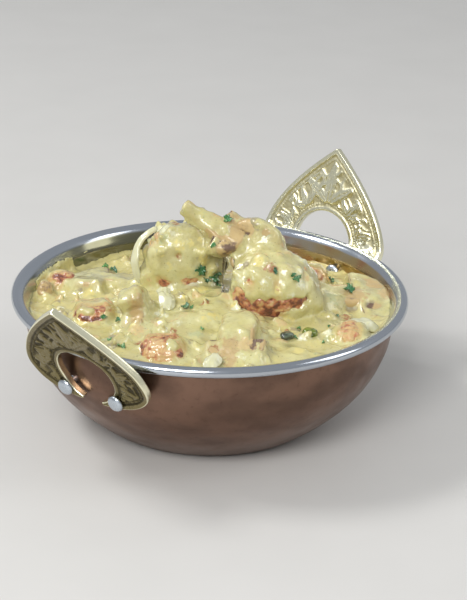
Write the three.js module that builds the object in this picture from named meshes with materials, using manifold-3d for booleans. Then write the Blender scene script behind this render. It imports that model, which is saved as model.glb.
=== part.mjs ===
// Chicken and mushroom curry in a small two-handled serving pan (a kadai).
// A copper outer shell is pressed over a steel bowl with a rolled rim. Two cast brass
// handles are riveted to opposite sides. The pan is filled with a thick creamy sauce, and
// pieces of chicken, mushroom and onion are heaped in it.
//
// Millimetres, +Z up. The origin is the centre of the flat base; the handles lie along X.

import * as THREE from "three";
import { mergeVertices } from "three/addons/utils/BufferGeometryUtils.js";
import Module from "manifold-3d";

const wasm = await Module();
wasm.setup();

// ---------------------------------------------------------------------------------------
// Driving dimensions
// ---------------------------------------------------------------------------------------

const GAP = 0.3; // clearance between any two pieces that touch

const BOWL = {
  rimRadius: 80, // outside of the rolled rim
  rimHeight: 54.1,
  beadRadius: 2.1, // the rolled rim's section
  baseRadius: 43,
  footRadius: 44, // where the wall leaves the base
  wallTopRadius: 74.8,
  wallHeight: 50,
  wallPower: 2.4, // how soon the wall turns upright
  copper: 0.8, // sheet thicknesses
  steel: 1.0,
  segments: 32,
  wallSteps: 6,
};

const HANDLE = {
  tip: 49.6, // from the rivet line to the point
  halfWidth: 29.8,
  holeRise: 9.2, // the hole's centre above the rivet line
  holeRadius: 13.4,
  legDepth: 14, // how far the outline goes below the hole's centre
  leafPower: 1.65, // how full the outline is between its widest point and its tip
  lowerPower: 2.3,
  openingAngle: 159, // of each leg's end, from straight up
  rivetSpread: 12.6, // half the distance between the two rivets
  thickness: 3,
  turnSteps: 18,
  acrossSteps: 2,
};

// Each handle bends on its way up: flush with the wall, out past the rim, then to its tip.
// A stretch ends at a height above the rivet line, measured along the plate.
const HANDLE_FITS = [
  {
    name: "near",
    azimuth: 183,
    rivetHeight: 36,
    size: 0.96,
    stretches: [[4, 14], [18, 27], [60, 34]],
  },
  {
    name: "far",
    azimuth: 1.5,
    rivetHeight: 42,
    size: 1.03,
    stretches: [[4.5, 6], [12.5, 41], [60, 13]],
  },
];

const RIVET = {
  shank: 2.0,
  head: 3.4,
  dome: 1.7,
  innerDome: 1.4,
  headGap: 0.55, // the plate leans a little against the outer head
  innerGap: 1.4, // the round wall slants against the inner head
  segments: 8,
};

const SAUCE = {
  wallLevel: 43, // where the sauce meets the wall at the back
  frontRise: 5.5, // it stands higher at the front
  moundHeight: 9.5,
  moundRadius: 33,
  rings: 5,
};

const FRONT = 217.5; // the side of the pan that the heap leans towards, degrees round Z

// ---------------------------------------------------------------------------------------
// Solids: joining, cutting and growing closed meshes
// ---------------------------------------------------------------------------------------

function weld(geometry) {
  const bare = geometry.clone();
  bare.deleteAttribute("normal");
  bare.deleteAttribute("uv");
  return mergeVertices(bare, 1e-4);
}

function toSolid(geometry) {
  const welded = weld(geometry);
  const vertProperties = new Float32Array(welded.attributes.position.array);
  const triVerts = new Uint32Array(welded.index.array);
  return new wasm.Manifold(new wasm.Mesh({ numProp: 3, vertProperties, triVerts }));
}

// The largest connected body of a solid, as a geometry.
function toGeometry(solid) {
  const bodies = solid.decompose();
  const largest = bodies.reduce((best, body) => (body.volume() > best.volume() ? body : best));
  const mesh = largest.getMesh();
  const geometry = new THREE.BufferGeometry();
  geometry.setAttribute("position", new THREE.BufferAttribute(new Float32Array(mesh.vertProperties), 3));
  geometry.setIndex(new THREE.BufferAttribute(new Uint32Array(mesh.triVerts), 1));
  return geometry;
}

// The same shape with every point moved outwards along its normal.
function grown(geometry, distance) {
  const welded = weld(geometry);
  welded.computeVertexNormals();
  const position = welded.attributes.position;
  const normal = welded.attributes.normal;
  const point = new THREE.Vector3();
  const outwards = new THREE.Vector3();
  for (let i = 0; i < position.count; i += 1) {
    outwards.fromBufferAttribute(normal, i);
    point.fromBufferAttribute(position, i).addScaledVector(outwards, distance);
    position.setXYZ(i, point.x, point.y, point.z);
  }
  return welded;
}

// A closed body from a grid of points. Each row is a ring with an even number of points, in
// which the first half and the second half, read backwards, face each other: the two end
// rings are closed by rungs between facing points.
function closedGrid(rows) {
  const around = rows[0].length;
  const points = rows.flat();
  const triangles = [];
  for (let i = 0; i < rows.length - 1; i += 1) {
    for (let j = 0; j < around; j += 1) {
      const a = i * around + j;
      const b = i * around + ((j + 1) % around);
      triangles.push(a, b, b + around, a, b + around, a + around);
    }
  }
  const last = (rows.length - 1) * around;
  for (let j = 0; j < around / 2 - 1; j += 1) {
    const [a, b, c, d] = [j, j + 1, around - 2 - j, around - 1 - j];
    triangles.push(a, c, b, a, d, c);
    triangles.push(last + a, last + b, last + c, last + a, last + c, last + d);
  }
  const geometry = new THREE.BufferGeometry();
  geometry.setAttribute("position", new THREE.Float32BufferAttribute(points.flatMap((p) => p.toArray()), 3));
  geometry.setIndex(triangles);
  return geometry;
}

const radians = THREE.MathUtils.degToRad;

// Puts a piece at a point with its own Y along a heading and climb, in degrees. Its own Z
// is then as near straight up as it can be, and roll turns it about Y.
function moved(geometry, { at, heading, climb = 0, roll = 0 }) {
  const flat = Math.cos(radians(climb));
  const ahead = new THREE.Vector3(
    flat * Math.cos(radians(heading)),
    flat * Math.sin(radians(heading)),
    Math.sin(radians(climb)),
  );
  const side = new THREE.Vector3().crossVectors(ahead, new THREE.Vector3(0, 0, 1)).normalize();
  side.applyAxisAngle(ahead, radians(roll));
  const over = new THREE.Vector3().crossVectors(side, ahead);
  const matrix = new THREE.Matrix4().makeBasis(side, ahead, over).setPosition(...at);
  return geometry.clone().applyMatrix4(matrix);
}

// ---------------------------------------------------------------------------------------
// The bowl: a copper shell over a steel bowl
// ---------------------------------------------------------------------------------------

// The outer wall's radius at a height: it leaves the base steeply and turns upright.
function wallRadius(height) {
  const left = 1 - height / BOWL.wallHeight;
  return BOWL.footRadius + (BOWL.wallTopRadius - BOWL.footRadius) * (1 - left ** BOWL.wallPower);
}

// A point of the wall moved inwards by inset, square to the wall.
function wallPoint(height, inset) {
  const step = 0.01;
  const slope = (wallRadius(height + step) - wallRadius(height)) / step;
  const length = Math.hypot(slope, 1);
  return new THREE.Vector2(wallRadius(height) - inset / length, height + (inset * slope) / length);
}

// The wall's profile from its foot to a height, closer together low down where it curves.
function wallProfile(top, inset) {
  const points = [];
  for (let i = 0; i <= BOWL.wallSteps; i += 1) {
    points.push(wallPoint(top * (i / BOWL.wallSteps) ** 1.25, inset));
  }
  return points;
}

// Lathe turns a profile about its own Y; the bowl's axis is Z.
function turned(profile) {
  const geometry = new THREE.LatheGeometry(profile, BOWL.segments);
  return geometry.rotateX(Math.PI / 2);
}

const COPPER_TOP = BOWL.wallHeight - 0.5;

function copperShell() {
  const outer = wallProfile(COPPER_TOP, 0);
  const inner = wallProfile(COPPER_TOP - 0.05, BOWL.copper).reverse();
  return turned([
    new THREE.Vector2(0, 0),
    new THREE.Vector2(BOWL.baseRadius, 0),
    ...outer.slice(1),
    ...inner.slice(0, -1),
    new THREE.Vector2(BOWL.baseRadius - BOWL.copper, BOWL.copper),
    new THREE.Vector2(0, BOWL.copper),
  ]);
}

const STEEL_OUTSIDE = BOWL.copper + GAP;
const STEEL_INSIDE = STEEL_OUTSIDE + BOWL.steel;

// The rolled rim: a round bead whose underside sits just above the copper's edge.
function rimProfile() {
  const centre = new THREE.Vector2(BOWL.rimRadius - BOWL.beadRadius, BOWL.rimHeight - BOWL.beadRadius);
  const points = [];
  const steps = 6;
  for (let i = 0; i <= steps; i += 1) {
    const angle = radians(-90 + (200 * i) / steps);
    const x = centre.x + BOWL.beadRadius * Math.cos(angle);
    const y = centre.y + BOWL.beadRadius * Math.sin(angle);
    points.push(new THREE.Vector2(x, y));
  }
  return points;
}

function steelBowl() {
  const outer = wallProfile(BOWL.wallHeight - 0.6, STEEL_OUTSIDE);
  const inner = wallProfile(BOWL.wallHeight - 2.5, STEEL_INSIDE).reverse();
  const floor = STEEL_INSIDE;
  return turned([
    new THREE.Vector2(0, STEEL_OUTSIDE),
    new THREE.Vector2(BOWL.baseRadius - STEEL_OUTSIDE, STEEL_OUTSIDE),
    ...outer.slice(1),
    new THREE.Vector2(BOWL.wallTopRadius - STEEL_OUTSIDE, BOWL.wallHeight - 0.1),
    ...rimProfile(),
    new THREE.Vector2(BOWL.wallTopRadius - 0.4, BOWL.wallHeight + 2),
    ...inner.slice(0, -1),
    new THREE.Vector2(BOWL.baseRadius - floor, floor),
    new THREE.Vector2(0, floor),
  ]);
}

// ---------------------------------------------------------------------------------------
// Handles and rivets
// ---------------------------------------------------------------------------------------

// How far a point lies outside the handle's outline, across and up from the hole's centre.
// Above the centre the outline narrows to the tip; below it, it is a squarish oval.
function outlineExcess(across, up) {
  if (up < 0) {
    const p = HANDLE.lowerPower;
    return (across / HANDLE.halfWidth) ** p + (-up / HANDLE.legDepth) ** p - 1;
  }
  const rise = HANDLE.tip - HANDLE.holeRise;
  return across / HANDLE.halfWidth + (up / rise) ** HANDLE.leafPower - 1;
}

// Distance from the hole's centre to the outline, at an angle from straight up, by halving.
function outlineRadius(angle) {
  let inside = 0;
  let outside = 2 * HANDLE.tip;
  for (let i = 0; i < 40; i += 1) {
    const middle = (inside + outside) / 2;
    const excess = outlineExcess(Math.abs(middle * Math.sin(angle)), middle * Math.cos(angle));
    if (excess < 0) inside = middle;
    else outside = middle;
  }
  return inside;
}

// A point of the plate's middle surface in the handle's own frame: across, out, up.
// The plate bends only on its way up, so the path is a chain of straight stretches.
function bentPlate(fit, across, rise, side) {
  let out = 0;
  let up = 0;
  let start = 0;
  let lean = radians(fit.stretches[0][1]);
  if (rise < 0) {
    out = rise * Math.sin(lean);
    up = rise * Math.cos(lean);
  }
  for (const [end, degrees] of fit.stretches) {
    if (rise <= start) break;
    lean = radians(degrees);
    const length = Math.min(rise, end) - start;
    out += length * Math.sin(lean);
    up += length * Math.cos(lean);
    start = end;
  }
  const half = (side * HANDLE.thickness) / 2;
  return new THREE.Vector3(across, out + half * Math.cos(lean), up - half * Math.sin(lean));
}

// The horseshoe plate: rows run round the hole from one leg's end to the other.
function handlePlate(fit) {
  const rows = [];
  for (let i = 0; i <= HANDLE.turnSteps; i += 1) {
    const turn = -1 + (2 * i) / HANDLE.turnSteps;
    const angle = radians(HANDLE.openingAngle) * turn;
    const near = HANDLE.holeRadius;
    const far = outlineRadius(angle);
    const ring = [];
    for (const side of [1, -1]) {
      for (let j = 0; j <= HANDLE.acrossSteps; j += 1) {
        const share = j / HANDLE.acrossSteps;
        const radius = near + (far - near) * (side > 0 ? share : 1 - share);
        const across = fit.size * radius * Math.sin(angle);
        const rise = fit.size * (HANDLE.holeRise + radius * Math.cos(angle));
        ring.push(bentPlate(fit, across, rise, side));
      }
    }
    rows.push(ring);
  }
  return closedGrid(rows);
}

const PLATE_STANDOFF = GAP; // the plate's back clears the wall by this much at its middle

// How far the round wall falls away behind the flat plate at a rivet.
function wallDrop(fit) {
  const radius = wallPoint(fit.rivetHeight, 0).x;
  return radius - Math.sqrt(radius ** 2 - (HANDLE.rivetSpread * fit.size) ** 2);
}

// A rivet along Y, from the wall's outer face: a domed head inside the pan, the shank, and
// a domed head on the plate.
function rivetGeometry(fit) {
  const outside = wallDrop(fit) + PLATE_STANDOFF + HANDLE.thickness + RIVET.headGap;
  const inside = -(STEEL_INSIDE + RIVET.innerGap);
  const profile = [
    new THREE.Vector2(0, inside - RIVET.innerDome),
    new THREE.Vector2(RIVET.head * 0.7, inside - RIVET.innerDome * 0.7),
    new THREE.Vector2(RIVET.head, inside),
    new THREE.Vector2(RIVET.shank, inside),
    new THREE.Vector2(RIVET.shank, outside),
    new THREE.Vector2(RIVET.head, outside),
    new THREE.Vector2(RIVET.head * 0.72, outside + RIVET.dome * 0.7),
    new THREE.Vector2(0, outside + RIVET.dome),
  ];
  return new THREE.LatheGeometry(profile, RIVET.segments);
}

function rivetHole() {
  const radius = RIVET.shank + GAP;
  return new THREE.CylinderGeometry(radius, radius, 30, RIVET.segments);
}

// From a handle's own frame (across, out, up) to the pan's frame.
function handleMatrix(fit) {
  const seat = wallPoint(fit.rivetHeight, 0);
  const azimuth = radians(fit.azimuth);
  const across = new THREE.Vector3(-Math.sin(azimuth), Math.cos(azimuth), 0);
  const out = new THREE.Vector3(Math.cos(azimuth), Math.sin(azimuth), 0);
  const up = new THREE.Vector3(0, 0, 1);
  const standoff = seat.x + PLATE_STANDOFF + HANDLE.thickness / 2;
  const origin = out.clone().multiplyScalar(standoff).setZ(seat.y);
  // across, out and up form a left-handed set, so the across direction is turned round.
  return new THREE.Matrix4().makeBasis(across.negate(), out, up).setPosition(origin);
}

function rivetMatrix(fit, side) {
  const seat = wallPoint(fit.rivetHeight, 0);
  const step = wallPoint(fit.rivetHeight - 1, 0);
  const tilt = Math.atan2(seat.x - step.x, seat.y - step.y);
  const azimuth = radians(fit.azimuth);
  const across = new THREE.Vector3(-Math.sin(azimuth), Math.cos(azimuth), 0);
  const out = new THREE.Vector3(Math.cos(azimuth), Math.sin(azimuth), 0);
  const axis = out.clone().multiplyScalar(Math.cos(tilt)).setZ(-Math.sin(tilt));
  const spread = HANDLE.rivetSpread * fit.size;
  const origin = out.clone().multiplyScalar(seat.x - wallDrop(fit));
  origin.addScaledVector(across, side * spread).setZ(seat.y);
  const third = new THREE.Vector3().crossVectors(across, axis);
  return new THREE.Matrix4().makeBasis(across, axis, third).setPosition(origin);
}

// ---------------------------------------------------------------------------------------
// The food's shapes
// ---------------------------------------------------------------------------------------

// A chunk of chicken: a rounded block pushed in and out by three slow waves.
function chickenChunk({ size, seed, detail }) {
  const geometry = weld(new THREE.IcosahedronGeometry(1, detail));
  const position = geometry.attributes.position;
  const power = 2.5;
  for (let i = 0; i < position.count; i += 1) {
    const d = new THREE.Vector3().fromBufferAttribute(position, i).normalize();
    const block = (Math.abs(d.x) ** power + Math.abs(d.y) ** power + Math.abs(d.z) ** power) ** (-1 / power);
    const slow = Math.sin(2.3 * d.x + seed) + Math.sin(2.9 * d.y + 2.1 * seed) + Math.sin(2.6 * d.z + 3.7 * seed);
    const radius = block * (1 + 0.055 * slow);
    position.setXYZ(i, (d.x * radius * size[0]) / 2, (d.y * radius * size[1]) / 2, (d.z * radius * size[2]) / 2);
  }
  return geometry;
}

// Half the outline of a mushroom cut lengthways, from the top of the cap to the stem's end.
// Share 0 is the middle of the cap, 1 the middle of the stem's end.
function mushroomOutline({ cap, height, stem, length }, share) {
  const capShare = 0.55;
  const gillShare = 0.72;
  const edge = radians(96); // the cap's edge, as a turn from its top
  if (share <= capShare) {
    const angle = edge * (share / capShare);
    return new THREE.Vector2((cap / 2) * Math.sin(angle), height * Math.cos(angle));
  }
  const capEdge = new THREE.Vector2((cap / 2) * Math.sin(edge), height * Math.cos(edge));
  const neck = new THREE.Vector2(stem / 2, -height * 0.18);
  if (share <= gillShare) {
    return capEdge.lerp(neck, (share - capShare) / (gillShare - capShare));
  }
  const along = (share - gillShare) / (1 - gillShare);
  const width = (stem / 2) * (1 + 0.12 * Math.sin(Math.PI * along)) * Math.sqrt(1 - along ** 4);
  return new THREE.Vector2(width, neck.y - length * Math.sin((along * Math.PI) / 2));
}

// A slice of mushroom: the outline with rounded edges, bent along its length.
function mushroomSlice(slice) {
  const half = 9;
  const outline = [];
  for (let i = 0; i <= half; i += 1) outline.push(mushroomOutline(slice, i / half));
  for (let i = half - 1; i > 0; i -= 1) {
    const point = mushroomOutline(slice, i / half);
    outline.push(new THREE.Vector2(-point.x, point.y));
  }
  const middle = -slice.length * 0.25;
  const layers = [[-0.5, 0.86], [-0.3, 1], [0.3, 1], [0.5, 0.86]];
  const rows = layers.map(([level, shrink]) =>
    outline.map(({ x, y }) => {
      const lift = slice.bend * ((x / slice.cap) ** 2 - (y / slice.cap) ** 2) * slice.cap;
      const point = new THREE.Vector3(x * shrink, middle + (y - middle) * shrink, 0);
      return point.setZ(slice.thickness * level + lift);
    }),
  );
  return closedGrid(rows.map((row) => row.reverse()));
}

// A petal of onion: a strip of a thin round shell, curved both ways.
function onionPetal({ length, width, arc, thickness }) {
  const alongSteps = 6;
  const acrossSteps = 2;
  const bend = length / radians(arc);
  const rows = [];
  for (let i = 0; i <= alongSteps; i += 1) {
    const share = i / alongSteps;
    const turn = radians(arc) * (share - 0.5);
    const half = (width / 2) * (0.45 + 0.55 * Math.sin(Math.PI * share));
    const ring = [];
    for (const side of [1, -1]) {
      for (let j = 0; j <= acrossSteps; j += 1) {
        const across = side * (-1 + (2 * j) / acrossSteps);
        const dish = 0.18 * width * (1 - across ** 2);
        const radius = bend + dish + (side * thickness) / 2;
        ring.push(new THREE.Vector3(half * across, radius * Math.sin(turn), radius * Math.cos(turn) - bend));
      }
    }
    rows.push(ring);
  }
  return closedGrid(rows);
}

// ---------------------------------------------------------------------------------------
// The food's pieces, from the top of the heap down: an earlier one keeps its whole shape
// and presses into a later one
// ---------------------------------------------------------------------------------------

const FOOD = [
  {
    name: "mushroom_top",
    make: mushroomSlice,
    shape: { cap: 20, height: 10, stem: 9, length: 16, thickness: 8, bend: -0.2 },
    place: { at: [5.5, -0.7, 77.5], heading: -66, climb: -27, roll: 42 },
  },
  {
    name: "mushroom_right_crest",
    make: mushroomSlice,
    shape: { cap: 29, height: 11, stem: 10, length: 11, thickness: 7.5, bend: -0.3 },
    place: { at: [13, -14, 73], heading: -40, climb: 52, roll: 66 },
  },
  {
    name: "chicken_left",
    make: chickenChunk,
    shape: { size: [28, 32, 29], seed: 1.3, detail: 2 },
    place: { at: [5.5, 17.5, 61], heading: -52, climb: 3 },
  },
  {
    name: "chicken_right",
    make: chickenChunk,
    shape: { size: [26, 34, 27], seed: 4.1, detail: 2 },
    place: { at: [9.5, -25, 58.5], heading: -56, climb: -6, roll: 8 },
  },
  {
    name: "chicken_front",
    make: chickenChunk,
    shape: { size: [21, 16, 17], seed: 2.2, detail: 2 },
    place: { at: [-51, -18.5, 46.5], heading: -48, roll: -8 },
  },
  {
    name: "chicken_left_front",
    make: chickenChunk,
    shape: { size: [19, 16, 17], seed: 5.3, detail: 2 },
    place: { at: [-40.5, 26, 45.5], heading: -45 },
  },
  {
    name: "chicken_left_back",
    make: chickenChunk,
    shape: { size: [13, 14, 13], seed: 0.7, detail: 1 },
    place: { at: [-21, 62, 44], heading: -40 },
  },
  {
    name: "chicken_right_front",
    make: chickenChunk,
    shape: { size: [13, 13, 11], seed: 3.4, detail: 1 },
    place: { at: [8.5, -63, 46.8], heading: -65 },
  },
  {
    name: "chicken_right_back",
    make: chickenChunk,
    shape: { size: [14, 21, 15], seed: 6.1, detail: 1 },
    place: { at: [49.5, -12, 45], heading: -75 },
  },
  {
    name: "mushroom_upright",
    make: mushroomSlice,
    shape: { cap: 22, height: 11, stem: 11, length: 17, thickness: 9, bend: 0.15 },
    place: { at: [-35, 8, 51], heading: 40, climb: 30, roll: 62 },
  },
  {
    name: "mushroom_front",
    make: mushroomSlice,
    shape: { cap: 23, height: 13, stem: 13, length: 18, thickness: 9, bend: 0.2 },
    place: { at: [-33.5, -40, 48.8], heading: 214, climb: -22, roll: 5 },
  },
  {
    name: "mushroom_right",
    make: mushroomSlice,
    shape: { cap: 34, height: 13, stem: 13, length: 18, thickness: 8, bend: -0.1 },
    place: { at: [43.5, -43.5, 46.5], heading: -40, climb: -4, roll: 12 },
  },
  {
    name: "mushroom_left",
    make: mushroomSlice,
    shape: { cap: 24, height: 13, stem: 10, length: 17, thickness: 8, bend: 0.15 },
    place: { at: [-13, 47, 46], heading: 122, climb: -4, roll: 6 },
  },
  {
    name: "mushroom_wall_bit",
    make: chickenChunk,
    shape: { size: [9, 6, 9], seed: 2.9, detail: 1 },
    place: { at: [-33.5, 59.5, 47], heading: 119 },
  },
  {
    name: "onion_back",
    make: onionPetal,
    shape: { length: 34, width: 9, arc: 150, thickness: 2.2 },
    place: { at: [-9, 32, 60], heading: 40, climb: 78, roll: -75 },
  },
  {
    name: "onion_middle",
    make: onionPetal,
    shape: { length: 16, width: 7, arc: 70, thickness: 2 },
    place: { at: [-20.5, 6, 54.6], heading: 50, climb: 12, roll: 18 },
  },
  {
    name: "onion_right",
    make: onionPetal,
    shape: { length: 13, width: 8, arc: 80, thickness: 2 },
    place: { at: [18.5, -62.5, 49.8], heading: -45, climb: -8, roll: 12 },
  },
  {
    name: "onion_front",
    make: onionPetal,
    shape: { length: 12, width: 6, arc: 90, thickness: 2 },
    place: { at: [-50.5, -41.5, 51], heading: 200, climb: -20, roll: 8 },
  },
];

// ---------------------------------------------------------------------------------------
// The sauce: it fills the bowl and rises in a mound under the heap
// ---------------------------------------------------------------------------------------

function sauceHeight(x, y) {
  const inner = wallPoint(SAUCE.wallLevel, STEEL_INSIDE).x;
  const towardsFront = (x * Math.cos(radians(FRONT)) + y * Math.sin(radians(FRONT))) / inner;
  const front = SAUCE.frontRise * THREE.MathUtils.smoothstep(towardsFront, -0.6, 0.8);
  const mound = SAUCE.moundHeight * Math.exp(-(x ** 2 + y ** 2) / SAUCE.moundRadius ** 2);
  return SAUCE.wallLevel + front + mound;
}

function sauceSolid() {
  const rows = [];
  const skin = STEEL_INSIDE + GAP;
  const ring = (profile) => {
    const row = [];
    for (let j = 0; j < BOWL.segments; j += 1) row.push(profile((2 * Math.PI * j) / BOWL.segments));
    return row;
  };
  const at = (radius, height, angle) =>
    new THREE.Vector3(radius * Math.sin(angle), radius * Math.cos(angle), height);
  rows.push(ring((angle) => at(BOWL.baseRadius - skin - 1, skin, angle)));
  const low = SAUCE.wallLevel - 4;
  for (const { x, y } of wallProfile(low, skin).slice(1)) rows.push(ring((angle) => at(x, y, angle)));
  const edge = wallPoint(low, skin).x;
  for (let i = 0; i < SAUCE.rings; i += 1) {
    const radius = edge * (1 - i / SAUCE.rings) ** 0.9;
    rows.push(ring((angle) => at(radius, sauceHeight(radius * Math.sin(angle), radius * Math.cos(angle)), angle)));
  }
  return closedGrid(rows.map((row) => row.reverse()));
}

// ---------------------------------------------------------------------------------------
// Materials
// ---------------------------------------------------------------------------------------

const steel = new THREE.MeshStandardMaterial({ color: 0xb9bdc2, roughness: 0.16, metalness: 1 });
const copper = new THREE.MeshStandardMaterial({ color: 0xa9796a, roughness: 0.32, metalness: 1 });
const brass = new THREE.MeshStandardMaterial({ color: 0xc9b77c, roughness: 0.36, metalness: 1 });
const rivetMetal = new THREE.MeshStandardMaterial({ color: 0xc4ccd2, roughness: 0.3, metalness: 1 });
const sauceFinish = new THREE.MeshStandardMaterial({ color: 0xc9be7c, roughness: 0.22, metalness: 0 });
const chicken = new THREE.MeshStandardMaterial({ color: 0xc88f5a, roughness: 0.4, metalness: 0 });
const mushroom = new THREE.MeshStandardMaterial({ color: 0xbfa982, roughness: 0.35, metalness: 0 });
const onion = new THREE.MeshStandardMaterial({ color: 0xd9d7b4, roughness: 0.2, metalness: 0 });

function foodMaterial(name) {
  if (name.startsWith("chicken")) return chicken;
  if (name.startsWith("mushroom")) return mushroom;
  return onion;
}

// ---------------------------------------------------------------------------------------
// Assembly
// ---------------------------------------------------------------------------------------

const group = new THREE.Group();

function add(name, geometry, material) {
  const mesh = new THREE.Mesh(geometry, material);
  mesh.name = name;
  group.add(mesh);
  return mesh;
}

function rivetHoles() {
  const holes = HANDLE_FITS.flatMap((fit) =>
    [1, -1].map((side) => toSolid(rivetHole().applyMatrix4(rivetMatrix(fit, side)))),
  );
  return holes.reduce((all, one) => all.add(one));
}

const holes = rivetHoles();
const steelSolid = toSolid(steelBowl());
add("steel_bowl", toGeometry(steelSolid.subtract(holes)), steel);
add("copper_shell", toGeometry(toSolid(copperShell()).subtract(holes)), copper);

for (const fit of HANDLE_FITS) {
  const plate = toSolid(handlePlate(fit).applyMatrix4(handleMatrix(fit)));
  add(`handle_${fit.name}`, toGeometry(plate.subtract(holes)), brass);
  for (const [side, label] of [[1, "a"], [-1, "b"]]) {
    const rivet = add(`rivet_${fit.name}_${label}`, rivetGeometry(fit), rivetMetal);
    rivet.applyMatrix4(rivetMatrix(fit, side));
  }
}

const PRESS = GAP * 1.4; // grown by this much, a faceted piece clears its neighbour by GAP

const innerRivets = HANDLE_FITS.flatMap((fit) =>
  [1, -1].map((side) => toSolid(grown(rivetGeometry(fit), PRESS).applyMatrix4(rivetMatrix(fit, side)))),
).reduce((all, one) => all.add(one));
const pan = toSolid(grown(steelBowl(), PRESS)).add(innerRivets);

let pressed = innerRivets;
for (const { name, make, shape, place } of FOOD) {
  const piece = moved(make(shape), place);
  add(name, toGeometry(toSolid(piece).subtract(pan).subtract(pressed)), foodMaterial(name));
  pressed = pressed.add(toSolid(piece)).add(toSolid(grown(piece, PRESS)));
}
add("curry_sauce", toGeometry(toSolid(sauceSolid()).subtract(pressed)), sauceFinish);

export default group;
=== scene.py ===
# Chicken and mushroom curry in a small two-handled serving pan (a kadai): a copper shell over
# a steel bowl, two cast brass handles on four rivets, and the curry heaped in it.
#
# Sizes are in millimetres in the pan's own frame, +Z up, the origin at the centre of its flat
# base, and become metres as each mesh is made. Angles are in degrees round Z from +X.

import itertools

import bpy
import numpy as np
from mathutils import Matrix


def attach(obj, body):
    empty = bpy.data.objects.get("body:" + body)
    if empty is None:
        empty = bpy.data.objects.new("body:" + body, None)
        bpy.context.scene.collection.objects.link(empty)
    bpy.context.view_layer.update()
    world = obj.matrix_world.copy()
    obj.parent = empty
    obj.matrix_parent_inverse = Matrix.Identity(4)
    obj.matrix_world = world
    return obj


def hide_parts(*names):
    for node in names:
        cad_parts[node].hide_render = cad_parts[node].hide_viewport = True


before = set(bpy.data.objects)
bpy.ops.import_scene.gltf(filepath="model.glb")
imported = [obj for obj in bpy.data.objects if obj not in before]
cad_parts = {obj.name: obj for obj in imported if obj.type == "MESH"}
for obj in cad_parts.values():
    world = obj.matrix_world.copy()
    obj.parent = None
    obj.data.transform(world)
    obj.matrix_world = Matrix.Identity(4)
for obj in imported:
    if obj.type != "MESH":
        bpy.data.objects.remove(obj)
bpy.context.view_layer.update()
scene = bpy.context.scene

# ---------------------------------------------------------------------------------------
# The table, the light and the camera
# ---------------------------------------------------------------------------------------
# The pan stands on a plain pale table in a softly lit room. One lamp hangs high at its left, a
# broad one shines from beside the camera, and a weak one fills in from the right.

MM = 0.001
ROOM_COLOUR = (0.93, 0.96, 1.0, 1)
ROOM_STRENGTH = 0.45
TABLE_HALF = 6.0
LAMPS_AIM = (0, 0, 0.05)
# each lamp's azimuth, climb, distance, size and watts
LAMPS = {
    "key_lamp": (118, 52, 1.3, (0.4, 0.3), 7.5),
    "front_lamp": (200, 36, 1.5, (0.6, 0.6), 14.5),
    "side_lamp": (300, 35, 1.5, (0.5, 0.9), 4),
}
CAMERA_LENS = 118.5
CAMERA_FAR = 50
CAMERA_VIEW = {
    "azimuth": 217.5, "climb": 22.66, "distance": 0.8, "target": (0.0058, -0.0076, 0.0488), "roll": 1.5,
}


def linear(red, green, blue):
    """A colour of 0-255 screen values as linear light: ((c / 255 + 0.055) / 1.055) ** 2.4."""
    return (*(((np.array([red, green, blue]) / 255 + 0.055) / 1.055) ** 2.4), 1.0)


def finish_of(name, colour, roughness, metallic=0.0, **sockets):
    """A material with one Principled shader, its plain values on the shader's own sockets."""
    made = bpy.data.materials.new(name)
    made.use_nodes = True
    shader = made.node_tree.nodes["Principled BSDF"]
    values = {"Base_Color": linear(*colour), "Roughness": roughness, "Metallic": metallic, **sockets}
    for socket, value in values.items():
        shader.inputs[socket.replace("_", " ")].default_value = value
    return made, made.node_tree, shader


def node(tree, kind, values=None, **settings):
    """A shader node with its settings, and its sockets given a value or linked to another."""
    made = tree.nodes.new(kind)
    for key, value in settings.items():
        setattr(made, key, value)
    for key, value in (values or {}).items():
        if isinstance(value, bpy.types.NodeSocket):
            tree.links.new(value, made.inputs[key])
        else:
            made.inputs[key].default_value = value
    return made


def attribute(tree, name):
    """The value of one of the mesh's own attributes."""
    return node(tree, "ShaderNodeAttribute", attribute_name=name).outputs["Fac"]


def noise(tree, size, detail=2.0, stretch=(1, 1, 1)):
    """Noise fixed to the object, about size mm from lump to lump, times the stretch."""
    place = node(tree, "ShaderNodeTexCoord").outputs["Object"]
    scaled = node(tree, "ShaderNodeMapping", {"Vector": place, "Scale": [1 / s for s in stretch]})
    values = {"Vector": scaled.outputs[0], "Scale": 1 / (size * MM), "Detail": detail}
    return node(tree, "ShaderNodeTexNoise", values).outputs[0]


def combined(operation, first, second):
    """Two values added or multiplied."""
    return node(first.id_data, "ShaderNodeMath", {0: first, 1: second}, operation=operation).outputs[0]


def ranged(value, low, high, to_low=0.0, to_high=1.0):
    """The value's stretch from low to high carried to to_low to to_high, smoothly, and held there."""
    values = {0: value, 1: low, 2: high, 3: to_low, 4: to_high}
    return node(value.id_data, "ShaderNodeMapRange", values, interpolation_type="SMOOTHSTEP").outputs[0]


def blended(share, first, second):
    """A colour between the first and the second, by a share from 0 to 1. A colour is another
    node's or a tuple of 0-255 screen values."""
    first, second = (linear(*c) if isinstance(c, tuple) else c for c in (first, second))
    made = node(share.id_data, "ShaderNodeMix", {0: share, 6: first, 7: second}, data_type="RGBA")
    return made.outputs[2]


def layered(colour, *layers):
    """A colour with others laid over it. Each layer (value, low, high, most, tone) sets in as
    its value goes from low to high, and covers at most that share of what is under it."""
    for value, low, high, most, tone in layers:
        colour = blended(ranged(value, low, high, 0.0, most), colour, tone)
    return colour


def paint(shader, socket, value):
    """Links the value to one of the shader's sockets."""
    value.id_data.links.new(value, shader.inputs[socket])


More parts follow.
